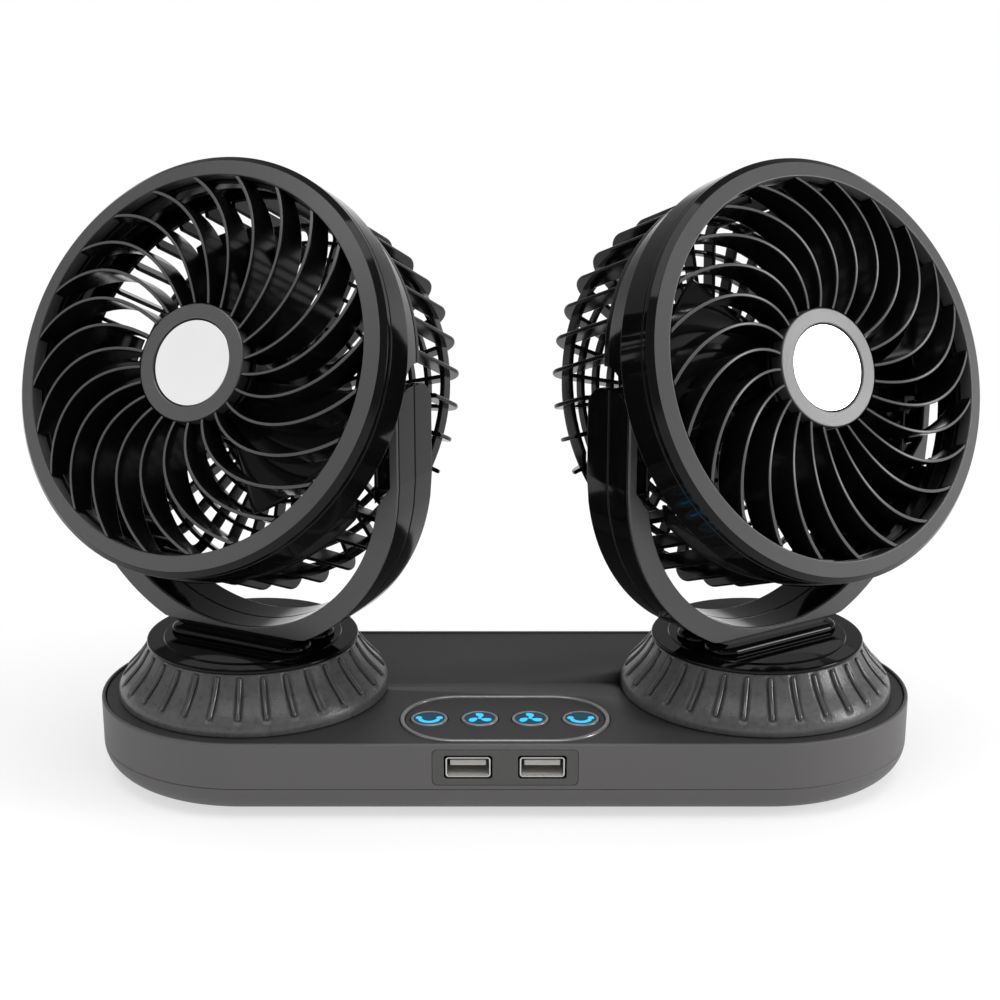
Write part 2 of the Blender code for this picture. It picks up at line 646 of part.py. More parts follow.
def make_skirt(side, parent):
    flare = skirt_flare()
    inner = [(r - SKIRT_WALL, z - SKIRT_WALL) for r, z in (flare[2], flare[0])]
    lip = [(SKIRT_RADIUS, SKIRT_BASE), (SKIRT_RADIUS - SKIRT_WALL, SKIRT_BASE)]
    bore = SPINDLE_RADIUS + GAP
    top = [(bore, SKIRT_TOP - SKIRT_WALL), (bore, SKIRT_TOP)]
    name = side + "_pedestal_skirt"
    skirt = turn(part(name, profile(name, flare + lip + inner + top, True), "skirt_grey", parent),
                 SKIRT_RIB_COUNT)
    neck, middle, shoulder = flare[:3]
    start = (neck[0] + SKIRT_RIB_PROUD, neck[1] - SKIRT_RIB_PROUD)
    outer = [(r + SKIRT_RIB_PROUD, z + SKIRT_RIB_PROUD) for r, z in (start, middle, shoulder)]
    root = [(r - SKIRT_WALL / 2, z - SKIRT_WALL / 4) for r, z in (shoulder, middle, start)]
    ribs = bmesh.new()
    for i in range(SKIRT_RIB_COUNT):
        swing = Matrix.Rotation(2 * math.pi * (i + 0.5) / SKIRT_RIB_COUNT, 4, "Z")
        add_prism(ribs, outer + root, -SKIRT_RIB_WIDTH / 2, SKIRT_RIB_WIDTH / 2, swing @ UPRIGHT)
    name = side + "_skirt_ribs"
    boolean(skirt, "UNION", tool(name, finish(ribs, name), parent))


def gear_outline(teeth):
    """Straight-sided teeth: a root, two flanks and a tip for each."""
    pitch_radius = SWING_MODULE * teeth / 2
    tip = pitch_radius + SWING_MODULE * TOOTH_ADDENDUM
    root = pitch_radius - SWING_MODULE * TOOTH_DEDENDUM
    step = 2 * math.pi / teeth
    outline = []
    for i in range(teeth):
        for radius, share in ((root, -TOOTH_ROOT_SHARE), (tip, -TOOTH_TIP_SHARE),
                              (tip, TOOTH_TIP_SHARE), (root, TOOTH_ROOT_SHARE)):
            angle = (i + share) * step
            outline.append((radius * math.cos(angle), radius * math.sin(angle)))
    return outline


def make_swing_drive(side, sign, yaw, base, swivel):
    """Turntable with its hollow spindle, the gear on it, and the motor that turns them."""
    section = [(DISC_STEP_RADIUS, DISC_TOP), (DISC_STEP_RADIUS, DISC_TOP - DISC_STEP),
               (DISC_RADIUS, DISC_TOP - DISC_STEP), (DISC_RADIUS, DISC_UNDER),
               (SPINDLE_RADIUS, DISC_UNDER), (SPINDLE_RADIUS, SPINDLE_FOOT),
               (SPINDLE_BORE, SPINDLE_FOOT), (SPINDLE_BORE, DISC_TOP)]
    name = side + "_turntable"
    turn(part(name, profile(name, section, True), "gloss_black", swivel), MIDDLE_STEPS)

    name = side + "_swing_gear"
    top = SWING_GEAR_BASE + SWING_GEAR_WIDTH
    gear = part(name, prism(name, gear_outline(SWING_GEAR_TEETH), SWING_GEAR_BASE, top), "nylon", swivel)
    bore = rod(side + "_gear_bore", SPINDLE_RADIUS + GAP, SWING_GEAR_BASE - OVERRUN, top + OVERRUN)
    boolean(gear, "DIFFERENCE", tool(side + "_gear_bore", bore, swivel))

    centre = (-sign * gear_centres(), 0, 0)
    name = side + "_swing_pinion"
    # A gap between teeth faces the gear, turned on by the gear's own yaw times the ratio
    facing = math.pi + math.pi / SWING_PINION_TEETH if sign < 0 else math.pi / SWING_PINION_TEETH
    towards = facing - sign * math.radians(yaw) * SWING_GEAR_TEETH / SWING_PINION_TEETH
    pinion = part(name, prism(name, gear_outline(SWING_PINION_TEETH), SWING_GEAR_BASE, top,
                              Matrix.Rotation(towards, 4, "Z")), "nylon", base, centre)
    stub = rod(side + "_pinion_shaft", SWING_SHAFT_RADIUS, SWING_GEAR_BASE - SWING_SHAFT_LENGTH,
               SWING_GEAR_BASE + OVERRUN)
    boolean(pinion, "UNION", tool(side + "_pinion_shaft", stub, base, centre))

    name = side + "_swing_motor"
    motor_top = SWING_GEAR_BASE - 2 * GAP
    shaft = SWING_SHAFT_RADIUS + GAP
    floor = SWING_GEAR_BASE - SWING_SHAFT_LENGTH - GAP
    section = [(0, floor), (shaft, floor), (shaft, motor_top), (SWING_MOTOR_RADIUS, motor_top),
               (SWING_MOTOR_RADIUS, motor_foot()), (0, motor_foot())]
    turn(part(name, profile(name, section, False), "steel", base, centre), SMALL_STEPS)


def arm_top_outline(half_width):
    """Side view of an arm, forward along X and up along Y, with a rounded top."""
    corner = (half_width - ARM_TOP_CORNER, ARM_TOP_RISE - ARM_TOP_CORNER)
    right = arc(*corner, ARM_TOP_CORNER, 0, 90, TOP_STEPS)
    left = arc(-corner[0], corner[1], ARM_TOP_CORNER, 90, 180, TOP_STEPS)
    foot = -PIVOT_HEIGHT
    return right + left + [(-half_width, foot), (half_width, foot)]


def arm_top_tool(name, half_width, parent):
    """The side view carried across both arms."""
    reach = ARM_OUTER + OVERRUN
    return tool(name, prism(name, arm_top_outline(half_width), -reach, reach, ACROSS), parent)


def shell_outline():
    """Front view of the yoke: outer arc, foot, inner arc and the shelf that carries the cheek."""
    centre = -ARM_CENTRE_DROP
    foot = FOOT_UNDER - PIVOT_HEIGHT
    foot_angle = math.degrees(math.asin((foot - centre) / ARM_OUTER))
    shelf_angle = math.degrees(math.asin((-CHEEK_SLOPE_BOTTOM - GAP - centre) / ARM_INNER))
    slope = -CHEEK_SLOPE_TOP - GAP
    outer = [(ARM_OUTER, ARM_TOP_RISE)] + arc(0, centre, ARM_OUTER, 0, foot_angle, YOKE_STEPS)
    inner = arc(0, centre, ARM_INNER, -90, shelf_angle, YOKE_STEPS)
    top = [(ARM_OUTER - FACE_STRIP, slope), (ARM_OUTER - FACE_STRIP, ARM_TOP_RISE)]
    left = [(-x, y) for x, y in reversed(outer)]
    back = [(-x, y) for x, y in reversed(inner + top)]
    return outer + left + back + inner[1:] + top


def face_outline():
    """Satin face: as the shells, with its outer arc ending on the foot and a bulb at the top."""
    centre = -ARM_CENTRE_DROP
    foot = FOOT_UNDER + FOOT_HEIGHT + GAP - PIVOT_HEIGHT
    foot_angle = math.degrees(math.asin((foot - centre) / ARM_OUTER))
    shelf_angle = math.degrees(math.asin((-CHEEK_SLOPE_BOTTOM - GAP - centre) / ARM_INNER))
    strip = ARM_OUTER - FACE_STRIP
    outer = [(ARM_OUTER, ARM_TOP_RISE)] + arc(0, centre, ARM_OUTER, 0, foot_angle, YOKE_STEPS)
    inner = arc(0, centre, ARM_INNER, -90, shelf_angle, YOKE_STEPS)
    bulb = arc(strip, -FACE_BULB_DROP, FACE_BULB, 270, 90, TOP_STEPS)
    top = [(strip, -CHEEK_SLOPE_TOP - GAP)] + bulb + [(strip, ARM_TOP_RISE)]
    left = [(-x, y) for x, y in reversed(outer)]
    back = [(-x, y) for x, y in reversed(inner + top)]
    return outer + left + back + inner[1:] + top


def make_yoke(side, yoke):
    """Front and rear shells, satin face, cheeks and tilt washers."""
    rounding = arm_top_tool(side + "_arm_rounding", ARM_HALF_WIDTH, yoke)
    foot_low = FOOT_UNDER - PIVOT_HEIGHT
    for end, low, high in (("front", SEAM_HALF_GAP, SHELL_HALF_WIDTH),
                           ("rear", -SHELL_HALF_WIDTH - FACE_THICKNESS, -SEAM_HALF_GAP)):
        name = side + "_yoke_" + end
        shell = part(name, prism(name, shell_outline(), low, high), "gloss_black", yoke)
        foot_from = min(low, -FOOT_HALF_WIDTH) if end == "rear" else low
        foot_to = high if end == "rear" else FOOT_HALF_WIDTH
        name = side + "_foot_" + end
        foot = box(name, (-FOOT_HALF_LENGTH, foot_low, foot_from),
                   (FOOT_HALF_LENGTH, foot_low + FOOT_HEIGHT, foot_to))
        boolean(shell, "UNION", tool(name, foot, yoke))
        boolean(shell, "INTERSECT", widened(side + "_rounding_" + end, yoke))

    name = side + "_yoke_face"
    face = part(name, prism(name, face_outline(), FACE_REAR, ARM_HALF_WIDTH), "satin_grey", yoke)
    boolean(face, "INTERSECT", rounding)

    cheek_top = arm_top_tool(side + "_cheek_rounding", CHEEK_HALF_WIDTH, yoke)
    for tag, sign in (("a", -1), ("b", 1)):
        outline = [(sign * CHEEK_INNER, -CHEEK_SLOPE_BOTTOM), (sign * CHEEK_OUTER, -CHEEK_SLOPE_TOP),
                   (sign * CHEEK_OUTER, ARM_TOP_RISE), (sign * CHEEK_INNER, ARM_TOP_RISE)]
        name = side + "_cheek_" + tag
        cheek = part(name, prism(name, outline, -CHEEK_HALF_WIDTH, CHEEK_HALF_WIDTH), "gloss_black", yoke)
        boolean(cheek, "INTERSECT", cheek_top)
        cuts = bmesh.new()
        near, far = sorted((sign * (CHEEK_INNER - OVERRUN), sign * (CHEEK_OUTER + OVERRUN)))
        add_rod(cuts, TRUNNION_RADIUS + GAP, near, far, ACROSS)
        middle = sign * (CHEEK_INNER + CHEEK_OUTER) / 2
        slot = [(middle - CHEEK_SLOT_WIDTH / 2, -CHEEK_SLOT_DROP - CHEEK_SLOT_LENGTH / 2),
                (middle + CHEEK_SLOT_WIDTH / 2, -CHEEK_SLOT_DROP - CHEEK_SLOT_LENGTH / 2),
                (middle + CHEEK_SLOT_WIDTH / 2, -CHEEK_SLOT_DROP + CHEEK_SLOT_LENGTH / 2),
                (middle - CHEEK_SLOT_WIDTH / 2, -CHEEK_SLOT_DROP + CHEEK_SLOT_LENGTH / 2)]
        add_prism(cuts, slot, CHEEK_HALF_WIDTH - CHEEK_SLOT_DEPTH, CHEEK_HALF_WIDTH + OVERRUN)
        boolean(cheek, "DIFFERENCE", tool(side + "_cheek_cuts_" + tag,
                                          finish(cuts, name + "_cuts"), yoke))
        name = side + "_tilt_washer_" + tag
        start = CHEEK_INNER - GAP
        section = ring(WASHER_RADIUS, TRUNNION_RADIUS + GAP, start, start - WASHER_THICKNESS)
        washer = part(name, profile(name, section, True), "steel", yoke)
        washer.rotation_euler = (0, sign * math.pi / 2, 0)
        turn(washer, SMALL_STEPS)


def widened(name, parent):
    """Rounding for a shell: the arm's side view with room for the wider foot."""
    knee = FOOT_UNDER + FOOT_HEIGHT + OVERRUN - PIVOT_HEIGHT
    foot = FOOT_UNDER - OVERRUN - PIVOT_HEIGHT
    wide = FOOT_HALF_WIDTH + OVERRUN
    outline = arm_top_outline(ARM_HALF_WIDTH)[:-2]
    outline += [(-ARM_HALF_WIDTH, knee), (-wide, knee), (-wide, foot), (wide, foot), (wide, knee),
                (ARM_HALF_WIDTH, knee)]
    reach = ARM_OUTER + OVERRUN
    return tool(name, prism(name, outline, -reach, reach, ACROSS), parent)


def arm_sweep(side, head):
    """The room that the arms pass through between the two tilt limits, seen from the head."""
    low = math.radians(TILT_LOWEST)
    high = math.radians(TILT_HIGHEST)
    half = SWEEP_HALF_WIDTH
    round_top = arc(0, 0, half, -TILT_LOWEST, 180 - TILT_HIGHEST, SWEEP_STEPS)
    reach = SWEEP_REACH
    rear = (round_top[-1][0] - reach * math.sin(high), round_top[-1][1] - reach * math.cos(high))
    front = (round_top[0][0] - reach * math.sin(low), round_top[0][1] - reach * math.cos(low))
    wedge = prism(side + "_sweep_wedge", round_top + [rear, front], -reach, reach, ACROSS)
    radius = ARM_INNER - SWEEP_CLEARANCE
    limit = math.degrees(math.acos(DUCT_OUTER / radius))
    turns = arc(0, 0, radius, limit, SWEEP_DEEPEST, SWEEP_STEPS)
    curve = [(ARM_CENTRE_DROP + rise, off) for off, rise in turns]
    far = curve[-1][0] + OVERRUN
    section = [(0, reach), (far, reach), (far, curve[-1][1])] + list(reversed(curve)) + [(0, DUCT_OUTER)]
    made = []
    for tag, sign in (("a", -1), ("b", 1)):
        name = side + "_sweep_" + tag
        solid = turn(tool(name, profile(name, section, False), head), ROUND_STEPS)
        solid.rotation_euler = (0, sign * math.pi / 2, 0)
        made.append(solid)
    wedge_tool = tool(side + "_sweep_wedge", wedge, head)
    for solid in made:
        boolean(solid, "INTERSECT", wedge_tool)
    return made


def make_shroud(side, head, sweeps):
    """Front band and taper in one moulding, with a piece of duct at each side that holds a trunnion."""
    web_front = BAND_REAR + BAND_WALL / 2
    web_rear = web_front - WEB_THICKNESS
    section = [(HEAD_RADIUS, BAND_FRONT), (HEAD_RADIUS, BAND_REAR),
               (TAPER_FRONT_RADIUS, BAND_REAR - OVERRUN / 2), (TAPER_REAR_RADIUS, TAPER_REAR),
               (TAPER_REAR_RADIUS - TAPER_WALL, TAPER_REAR), (TAPER_FRONT_RADIUS - TAPER_WALL, web_rear),
               (DUCT_OUTER, web_rear), (DUCT_OUTER, DUCT_REAR), (DUCT_INNER, DUCT_REAR),
               (DUCT_INNER, web_front), (HEAD_RADIUS - BAND_WALL, web_front),
               (HEAD_RADIUS - BAND_WALL, BAND_FRONT)]
    name = side + "_shroud"
    shroud = turn(part(name, profile(name, section, True), "gloss_black", head))
    for sweep in sweeps:
        boolean(shroud, "DIFFERENCE", sweep)
    open_from = DUCT_INNER - OVERRUN
    open_to = TAPER_REAR_RADIUS - TAPER_WALL - 2 * GAP
    for tag, middle in (("top", 90), ("bottom", -90)):
        half = 90 - DUCT_SIDE_ANGLE
        outline = arc(0, 0, open_to, middle - half, middle + half, MIDDLE_STEPS)
        outline += arc(0, 0, open_from, middle + half, middle - half, MIDDLE_STEPS)
        name = side + "_duct_opening_" + tag
        solid = prism(name, outline, DUCT_REAR - OVERRUN, web_front + OVERRUN)
        boolean(shroud, "DIFFERENCE", tool(name, solid, head))
    start = (DUCT_INNER + DUCT_OUTER) / 2
    trunnions = bmesh.new()
    add_rod(trunnions, TRUNNION_RADIUS, start, TRUNNION_END, ACROSS)
    add_rod(trunnions, TRUNNION_RADIUS, -TRUNNION_END, -start, ACROSS)
    name = side + "_trunnions"
    boolean(shroud, "UNION", tool(name, finish(trunnions, name), head))


def make_bezel(side, head):
    back = BAND_FRONT + GAP
    section = [(BEZEL_BORE, BEZEL_FRONT), (BEZEL_FACE_RADIUS, BEZEL_OUTER_FRONT),
               (HEAD_RADIUS, BEZEL_OUTER_FRONT - 2 * BEZEL_EDGE), (HEAD_RADIUS, back), (BEZEL_BORE, back)]
    name = side + "_bezel"
    turn(part(name, profile(name, section, True), "satin_grey", head), ROUND_STEPS)


def add_vane(vanes, start_angle):
    """One vane: it leaves the hub straight out, leans over towards the ring and bulges forward midway."""
    start = HUB_RADIUS + GAP
    end = BEZEL_BORE - GAP
    rear = VANE_FRONT - VANE_DEPTH
    stations = []
    for i in range(VANE_STEPS + 1):
        share = i / VANE_STEPS
        radius = start + (end - start) * share
        front = VANE_FRONT + VANE_BULGE * (1 - (2 * share - 1) ** 2)
        angle = start_angle + math.radians(VANE_SWEEP) * share ** VANE_SWEEP_POWER
        slope = math.radians(VANE_SWEEP) * VANE_SWEEP_POWER * share ** (VANE_SWEEP_POWER - 1)
        across = VANE_THICKNESS / 2 * math.hypot(1, slope * radius / (end - start)) / radius
        corners = ((-across, rear), (across, rear), (across, front), (-across, front))
        stations.append([vanes.verts.new((radius * math.cos(angle + off), radius * math.sin(angle + off), w))
                         for off, w in corners])
    for near, far in zip(stations, stations[1:]):
        for k in range(len(near)):
            vanes.faces.new((near[k], near[k - 1], far[k - 1], far[k]))
    vanes.faces.new(stations[0])
    vanes.faces.new(stations[-1])


def make_grille(side, head):
    """Outer ring, curved vanes and hub cup in one moulding, with the hub ring and badge on it."""
    top = BAND_FRONT
    outer = HEAD_RADIUS - BAND_WALL - GAP
    name = side + "_front_grille"
    section = ring(outer, GRILLE_RING_BORE, top, top - GRILLE_RING_DEPTH)
    grille = turn(part(name, profile(name, section, True), "grille_black", head), VANE_COUNT)
    vanes = bmesh.new()
    for i in range(VANE_COUNT):
        add_vane(vanes, math.radians(VANE_START_ANGLE) + 2 * math.pi * i / VANE_COUNT)
    name = side + "_vanes"
    boolean(grille, "UNION", tool(name, finish(vanes, name), head))
    name = side + "_grille_hub"
    boolean(grille, "UNION", tool(name, rod(name, HUB_RADIUS + HUB_MARGIN, HUB_FRONT - HUB_DEPTH, HUB_FRONT,
                                            None, VANE_COUNT), head))
    name = side + "_hub_ring"
    low = HUB_FRONT + GAP
    section = [(BADGE_RADIUS + GAP, BEZEL_FRONT), (HUB_RADIUS - BEZEL_EDGE / 2, BEZEL_FRONT),
               (HUB_RADIUS, BEZEL_FRONT - BEZEL_EDGE / 2), (HUB_RADIUS, low), (BADGE_RADIUS + GAP, low)]
    turn(part(name, profile(name, section, True), "satin_grey", head), MIDDLE_STEPS)
    name = side + "_hub_badge"
    crown = BEZEL_FRONT - GAP
    section = [(0, crown), (BADGE_RADIUS, crown - GAP), (BADGE_RADIUS, low), (0, low)]
    turn(part(name, profile(name, section, False), "mirror", head), MIDDLE_STEPS)


def make_cage(side, head, sweeps):
    """Rear guard: a flange, plate fins that wrap round to a motor cup, and a hoop inside them."""
    name = side + "_rear_cage"
    inner = TAPER_REAR_RADIUS - CAGE_FLANGE_WIDTH
    flange = ring(TAPER_REAR_RADIUS, inner, CAGE_FRONT, CAGE_FRONT - CAGE_FLANGE)
    cage = turn(part(name, profile(name, flange, True), "grille_black", head), CAGE_FIN_COUNT)
    fin_inner = CAGE_RADIUS - CAGE_FIN_DEPTH
    shelf = CAGE_REAR + CAGE_REAR_DEPTH
    corner = arc(CAGE_RADIUS - CAGE_CORNER, CAGE_REAR + CAGE_CORNER, CAGE_CORNER, 0, -90, CORNER_STEPS)
    fin = [(CAGE_RADIUS, CAGE_FRONT - CAGE_FLANGE / 4)]
    fin += corner + [(CUP_OUTER - CUP_WALL / 2, CAGE_REAR), (CUP_OUTER - CUP_WALL / 2, shelf),
                     (fin_inner, shelf), (fin_inner, CAGE_FRONT - CAGE_FLANGE / 4)]
    fins = bmesh.new()
    for i in range(CAGE_FIN_COUNT):
        swing = Matrix.Rotation(2 * math.pi * (i + 0.5) / CAGE_FIN_COUNT, 4, "Z")
        half = CAGE_FIN_THICKNESS / 2
        add_prism(fins, fin, -half, half, swing @ UPRIGHT)
    name = side + "_fins"
    boolean(cage, "UNION", tool(name, finish(fins, name), head))
    name = side + "_side_hoop"
    hoop = ring(CAGE_HOOP_RADIUS, CAGE_HOOP_RADIUS - CAGE_HOOP_THICKNESS,
                CAGE_HOOP_REAR + CAGE_HOOP_WIDTH, CAGE_HOOP_REAR)
    solid = tool(name, profile(name, hoop, True), head)
    boolean(cage, "UNION", turn(solid, CUP_STEPS))
    name = side + "_motor_cup"
    floor = CAGE_REAR + CUP_WALL
    cup = [(0, floor), (CUP_INNER, floor), (CUP_INNER, CUP_FRONT), (CUP_OUTER, CUP_FRONT),
           (CUP_OUTER, CAGE_REAR - OVERRUN), (0, CAGE_REAR - OVERRUN)]
    solid = tool(name, profile(name, cup, False), head)
    boolean(cage, "UNION", turn(solid, CUP_STEPS))
    for sweep in sweeps:
        boolean(cage, "DIFFERENCE", sweep)


def make_drive(side, head, spin):
    """Fan motor in the cage's cup, its shaft and the three-blade impeller."""
    rear = CAGE_REAR + CUP_WALL + GAP
    bore = SHAFT_RADIUS + GAP
    boss = MOTOR_FRONT + MOTOR_BOSS
    floor = MOTOR_FRONT - MOTOR_BORE_DEPTH
    section = [(bore, boss), (MOTOR_BOSS_RADIUS, boss), (MOTOR_BOSS_RADIUS, MOTOR_FRONT),
               (MOTOR_RADIUS, MOTOR_FRONT), (MOTOR_RADIUS, rear), (0, rear)]
    name = side + "_fan_motor"
    points = [(0, floor), (bore, floor)] + section
    turn(part(name, profile(name, points, False), "steel", head), CUP_STEPS)

    front = IMPELLER_REAR + IMPELLER_DEPTH
    pocket = IMPELLER_REAR + IMPELLER_BORE_DEPTH
    name = side + "_motor_shaft"
    section = [(0, pocket - GAP), (SHAFT_RADIUS, pocket - GAP), (SHAFT_RADIUS, floor + GAP),
               (0, floor + GAP)]
    turn(part(name, profile(name, section, False), "steel", spin), SMALL_STEPS)

    name = side + "_impeller"
    edge = BEZEL_EDGE * 2
    section = [(0, front), (IMPELLER_HUB_RADIUS - edge, front), (IMPELLER_HUB_RADIUS, front - edge),
               (IMPELLER_HUB_RADIUS, IMPELLER_REAR), (bore, IMPELLER_REAR), (bore, pocket), (0, pocket)]
    impeller = turn(part(name, profile(name, section, False), "gloss_black", spin), CUP_STEPS)
    blades = bmesh.new()
    root = IMPELLER_HUB_RADIUS - BLADE_THICKNESS
    for blade in range(BLADE_COUNT):
        rows = []
        for i in range(BLADE_ROWS + 1):
            share = i / BLADE_ROWS
            radius = root + (IMPELLER_RADIUS - root) * share
            span = math.radians(BLADE_ROOT_SPAN + (BLADE_TIP_SPAN - BLADE_ROOT_SPAN) * share)
            row = []
            for j in range(BLADE_STEPS + 1):
                angle = 2 * math.pi * blade / BLADE_COUNT + span * (j / BLADE_STEPS - 0.5)
                height = IMPELLER_REAR + IMPELLER_DEPTH / 2 - BLADE_RISE * (j / BLADE_STEPS - 0.5)
                row.append(blades.verts.new((radius * math.cos(angle), radius * math.sin(angle), height)))
            rows.append(row)
        for near, far in zip(rows, rows[1:]):
            for j in range(BLADE_STEPS):
                blades.faces.new((near[j], far[j], far[j + 1], near[j + 1]))
    name = side + "_blades"
    solid = tool(name, finish(blades, name), spin)
    thick = solid.modifiers.new("blade_thickness", "SOLIDIFY")
    thick.thickness = BLADE_THICKNESS
    thick.offset = 0
    boolean(impeller, "UNION", solid)


def make_head(side, sign, yaw, tilt, turned):
    base = empty(side + "_pedestal", None, (sign * PEDESTAL_X, 0, 0))
    swivel = empty(side + "_swivel", base, (0, 0, 0), (0, 0, sign * math.radians(yaw)))
    yoke = empty(side + "_yoke", swivel, (0, 0, PIVOT_HEIGHT), (math.pi / 2, 0, 0))
    head = empty(side + "_tilt", yoke, (0, 0, 0), (-math.radians(tilt), 0, 0))
    spin = empty(side + "_spin", head, (0, 0, 0), (0, 0, math.radians(turned)))
    make_skirt(side, base)
    make_swing_drive(side, sign, yaw, base, swivel)
    make_yoke(side, yoke)
    sweeps = arm_sweep(side, head)
    make_shroud(side, head, sweeps)
    make_bezel(side, head)
    make_grille(side, head)
    make_cage(side, head, sweeps)
    make_drive(side, head, spin)


def main():
    for thing in list(bpy.data.objects):
        bpy.data.objects.remove(thing, do_unlink=True)
    collection("dual_head_car_fan")
    collection("cutters")
    make_tray()
    make_housing()
    make_deck_pieces()
    make_electronics()
    for lead in LEAD:
        make_head(*lead)


main()
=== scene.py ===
# Dual head car fan: the finish of every surface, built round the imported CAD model
import json
import math

import bmesh
import bpy
import numpy as np
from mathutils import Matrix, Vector


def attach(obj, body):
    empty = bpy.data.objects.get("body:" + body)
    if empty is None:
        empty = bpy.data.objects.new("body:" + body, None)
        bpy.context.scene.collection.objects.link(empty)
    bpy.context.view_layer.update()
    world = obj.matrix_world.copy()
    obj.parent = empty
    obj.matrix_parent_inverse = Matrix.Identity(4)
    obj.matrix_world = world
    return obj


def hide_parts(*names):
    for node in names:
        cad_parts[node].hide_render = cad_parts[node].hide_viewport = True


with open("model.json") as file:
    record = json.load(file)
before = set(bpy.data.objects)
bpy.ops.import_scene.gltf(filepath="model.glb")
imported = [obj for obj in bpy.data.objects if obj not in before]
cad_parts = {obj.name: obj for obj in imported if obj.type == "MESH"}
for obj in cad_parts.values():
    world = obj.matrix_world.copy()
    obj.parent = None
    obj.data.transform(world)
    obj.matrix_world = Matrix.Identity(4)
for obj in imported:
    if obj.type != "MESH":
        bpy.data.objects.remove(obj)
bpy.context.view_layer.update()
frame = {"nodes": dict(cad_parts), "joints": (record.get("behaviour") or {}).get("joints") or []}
mm = 0.001
# how far a cutter reaches past the face that it opens, in mm
past = 1.0
print("frame loaded:", len(frame["nodes"]), "nodes")


# Materials

def linearColour(hexText):
    # sRGB hex to linear RGBA
    values = [int(hexText[i:i + 2], 16) / 255 for i in (1, 3, 5)]
    return [v / 12.92 if v <= 0.04045 else ((v + 0.055) / 1.055) ** 2.4 for v in values] + [1.0]


def addNode(tree, kind, settings=None, links=None):
    # one node: settings go to its own values or its sockets, links join sockets to other nodes' outputs
    node = tree.nodes.new(kind)
    for key, value in (settings or {}).items():
        if isinstance(key, str) and hasattr(node, key):
            setattr(node, key, value)
        else:
            node.inputs[key].default_value = value
    for key, source in (links or {}).items():
        tree.links.new(source, node.inputs[key])
    return node


def newMaterial(name, shaderSettings):
    made = bpy.data.materials.new(name)
    made.use_nodes = True
    shader = made.node_tree.nodes["Principled BSDF"]
    for key, value in shaderSettings.items():
        shader.inputs[key].default_value = value
    return made, made.node_tree, shader


def grainMaterial(name, colour, darker, roughness, grainMm, bumpMm, smudgeMm=30.0, level=0.5, metallic=0.0):
    # moulded or painted surface: fine grain in the bump, slow patches in colour and roughness
    made, tree, shader = newMaterial(name, {"Metallic": metallic, "Specular IOR Level": level})
    place = addNode(tree, "ShaderNodeTexCoord").outputs["Object"]
    grain = addNode(tree, "ShaderNodeTexNoise",
                    {"Scale": 1 / (grainMm * mm), "Detail": 3.0, "Roughness": 0.6}, {"Vector": place})
    patch = addNode(tree, "ShaderNodeTexNoise",
                    {"Scale": 1 / (smudgeMm * mm), "Detail": 4.0}, {"Vector": place})
    tint = addNode(tree, "ShaderNodeMix",
                   {"data_type": "RGBA", 6: linearColour(darker), 7: linearColour(colour)},
                   {0: patch.outputs["Fac"]})
    tree.links.new(tint.outputs[2], shader.inputs["Base Color"])
    dull = addNode(tree, "ShaderNodeMapRange",
                   {"From Min": 0.3, "From Max": 0.7, "To Min": roughness * 0.88, "To Max": roughness * 1.12},
                   {"Value": patch.outputs["Fac"]})
    tree.links.new(dull.outputs["Result"], shader.inputs["Roughness"])
    bump = addNode(tree, "ShaderNodeBump", {"Strength": 1.0, "Distance": bumpMm * mm},
                   {"Height": grain.outputs["Fac"]})
    tree.links.new(bump.outputs["Normal"], shader.inputs["Normal"])
    return made


# ABS from a spark-eroded mould: warm grey, dull, with a 0.35 mm pebble, drawn at 0.6 mm so that it shows
baseAbs = grainMaterial("mouldedGreyAbs", "#5e5c5c", "#575555", 0.52, 0.60, 0.020)
# the same ABS, a shade darker, round the sockets
plateAbs = grainMaterial("mouldedDarkAbs", "#504f4e", "#4a4948", 0.55, 0.60, 0.020)
# coarse satin texture of the skirts, 0.5 mm pebbles drawn at 0.9 mm, mottled every 2 mm
skirtAbs = grainMaterial("texturedSkirtAbs", "#656464", "#434242", 0.30, 0.90, 0.11, 2.0)
# ABS from a polished mould: deep black that mirrors, with the slight waviness of a thick moulding
pianoBlack = grainMaterial("polishedBlackAbs", "#0d0c0d", "#0a0a0b", 0.07, 12.0, 0.020, 40.0, 0.20)
# polypropylene of the fan blades and guards: black, a little softer than the polished shells
guardBlack = grainMaterial("guardBlackPolypropylene", "#0e0e0f", "#0b0b0c", 0.16, 6.0, 0.012, 30.0, 0.20)
# dark grey acrylic sheet over the deck: flat and even. The real sheet looks glossier; its sharp reflections
# are softened here
deckAcrylic = grainMaterial("satinDeckAcrylic", "#3e3d3e", "#3a393a", 0.45, 60.0, 0.010, 60.0, 0.40)
# the same sheet, a shade darker, under the keys
keyAcrylic = grainMaterial("satinKeyAcrylic", "#353436", "#323133", 0.38, 60.0, 0.010, 60.0, 0.40)
# satin grey paint with fine flake, on the front rings, the vane edges and the yoke faces
# on the vane edges the same grey is partly a painted highlight of the rounded edge
flakePaint = grainMaterial("satinFlakePaint", "#505050", "#4c4c4c", 0.34, 0.30, 0.004, 50.0, 0.50)
# nitrile and other rubber: near black, matt
rubberSkin = grainMaterial("mouldedRubber", "#161616", "#101010", 0.75, 0.80, 0.040)
# natural nylon 66 gears, uncoloured, faintly translucent in life
nylonGear = grainMaterial("naturalNylon", "#d2ccbe", "#c8c1b2", 0.45, 1.0, 0.010)
# glass-filled liquid crystal polymer of the socket tongues
tongueLcp = grainMaterial("socketTonguePolymer", "#bdbcb9", "#b0afac", 0.45, 0.50, 0.010)
# green solder mask over copper
solderMask = grainMaterial("greenSolderMask", "#14401f", "#0f3519", 0.35, 3.0, 0.015)
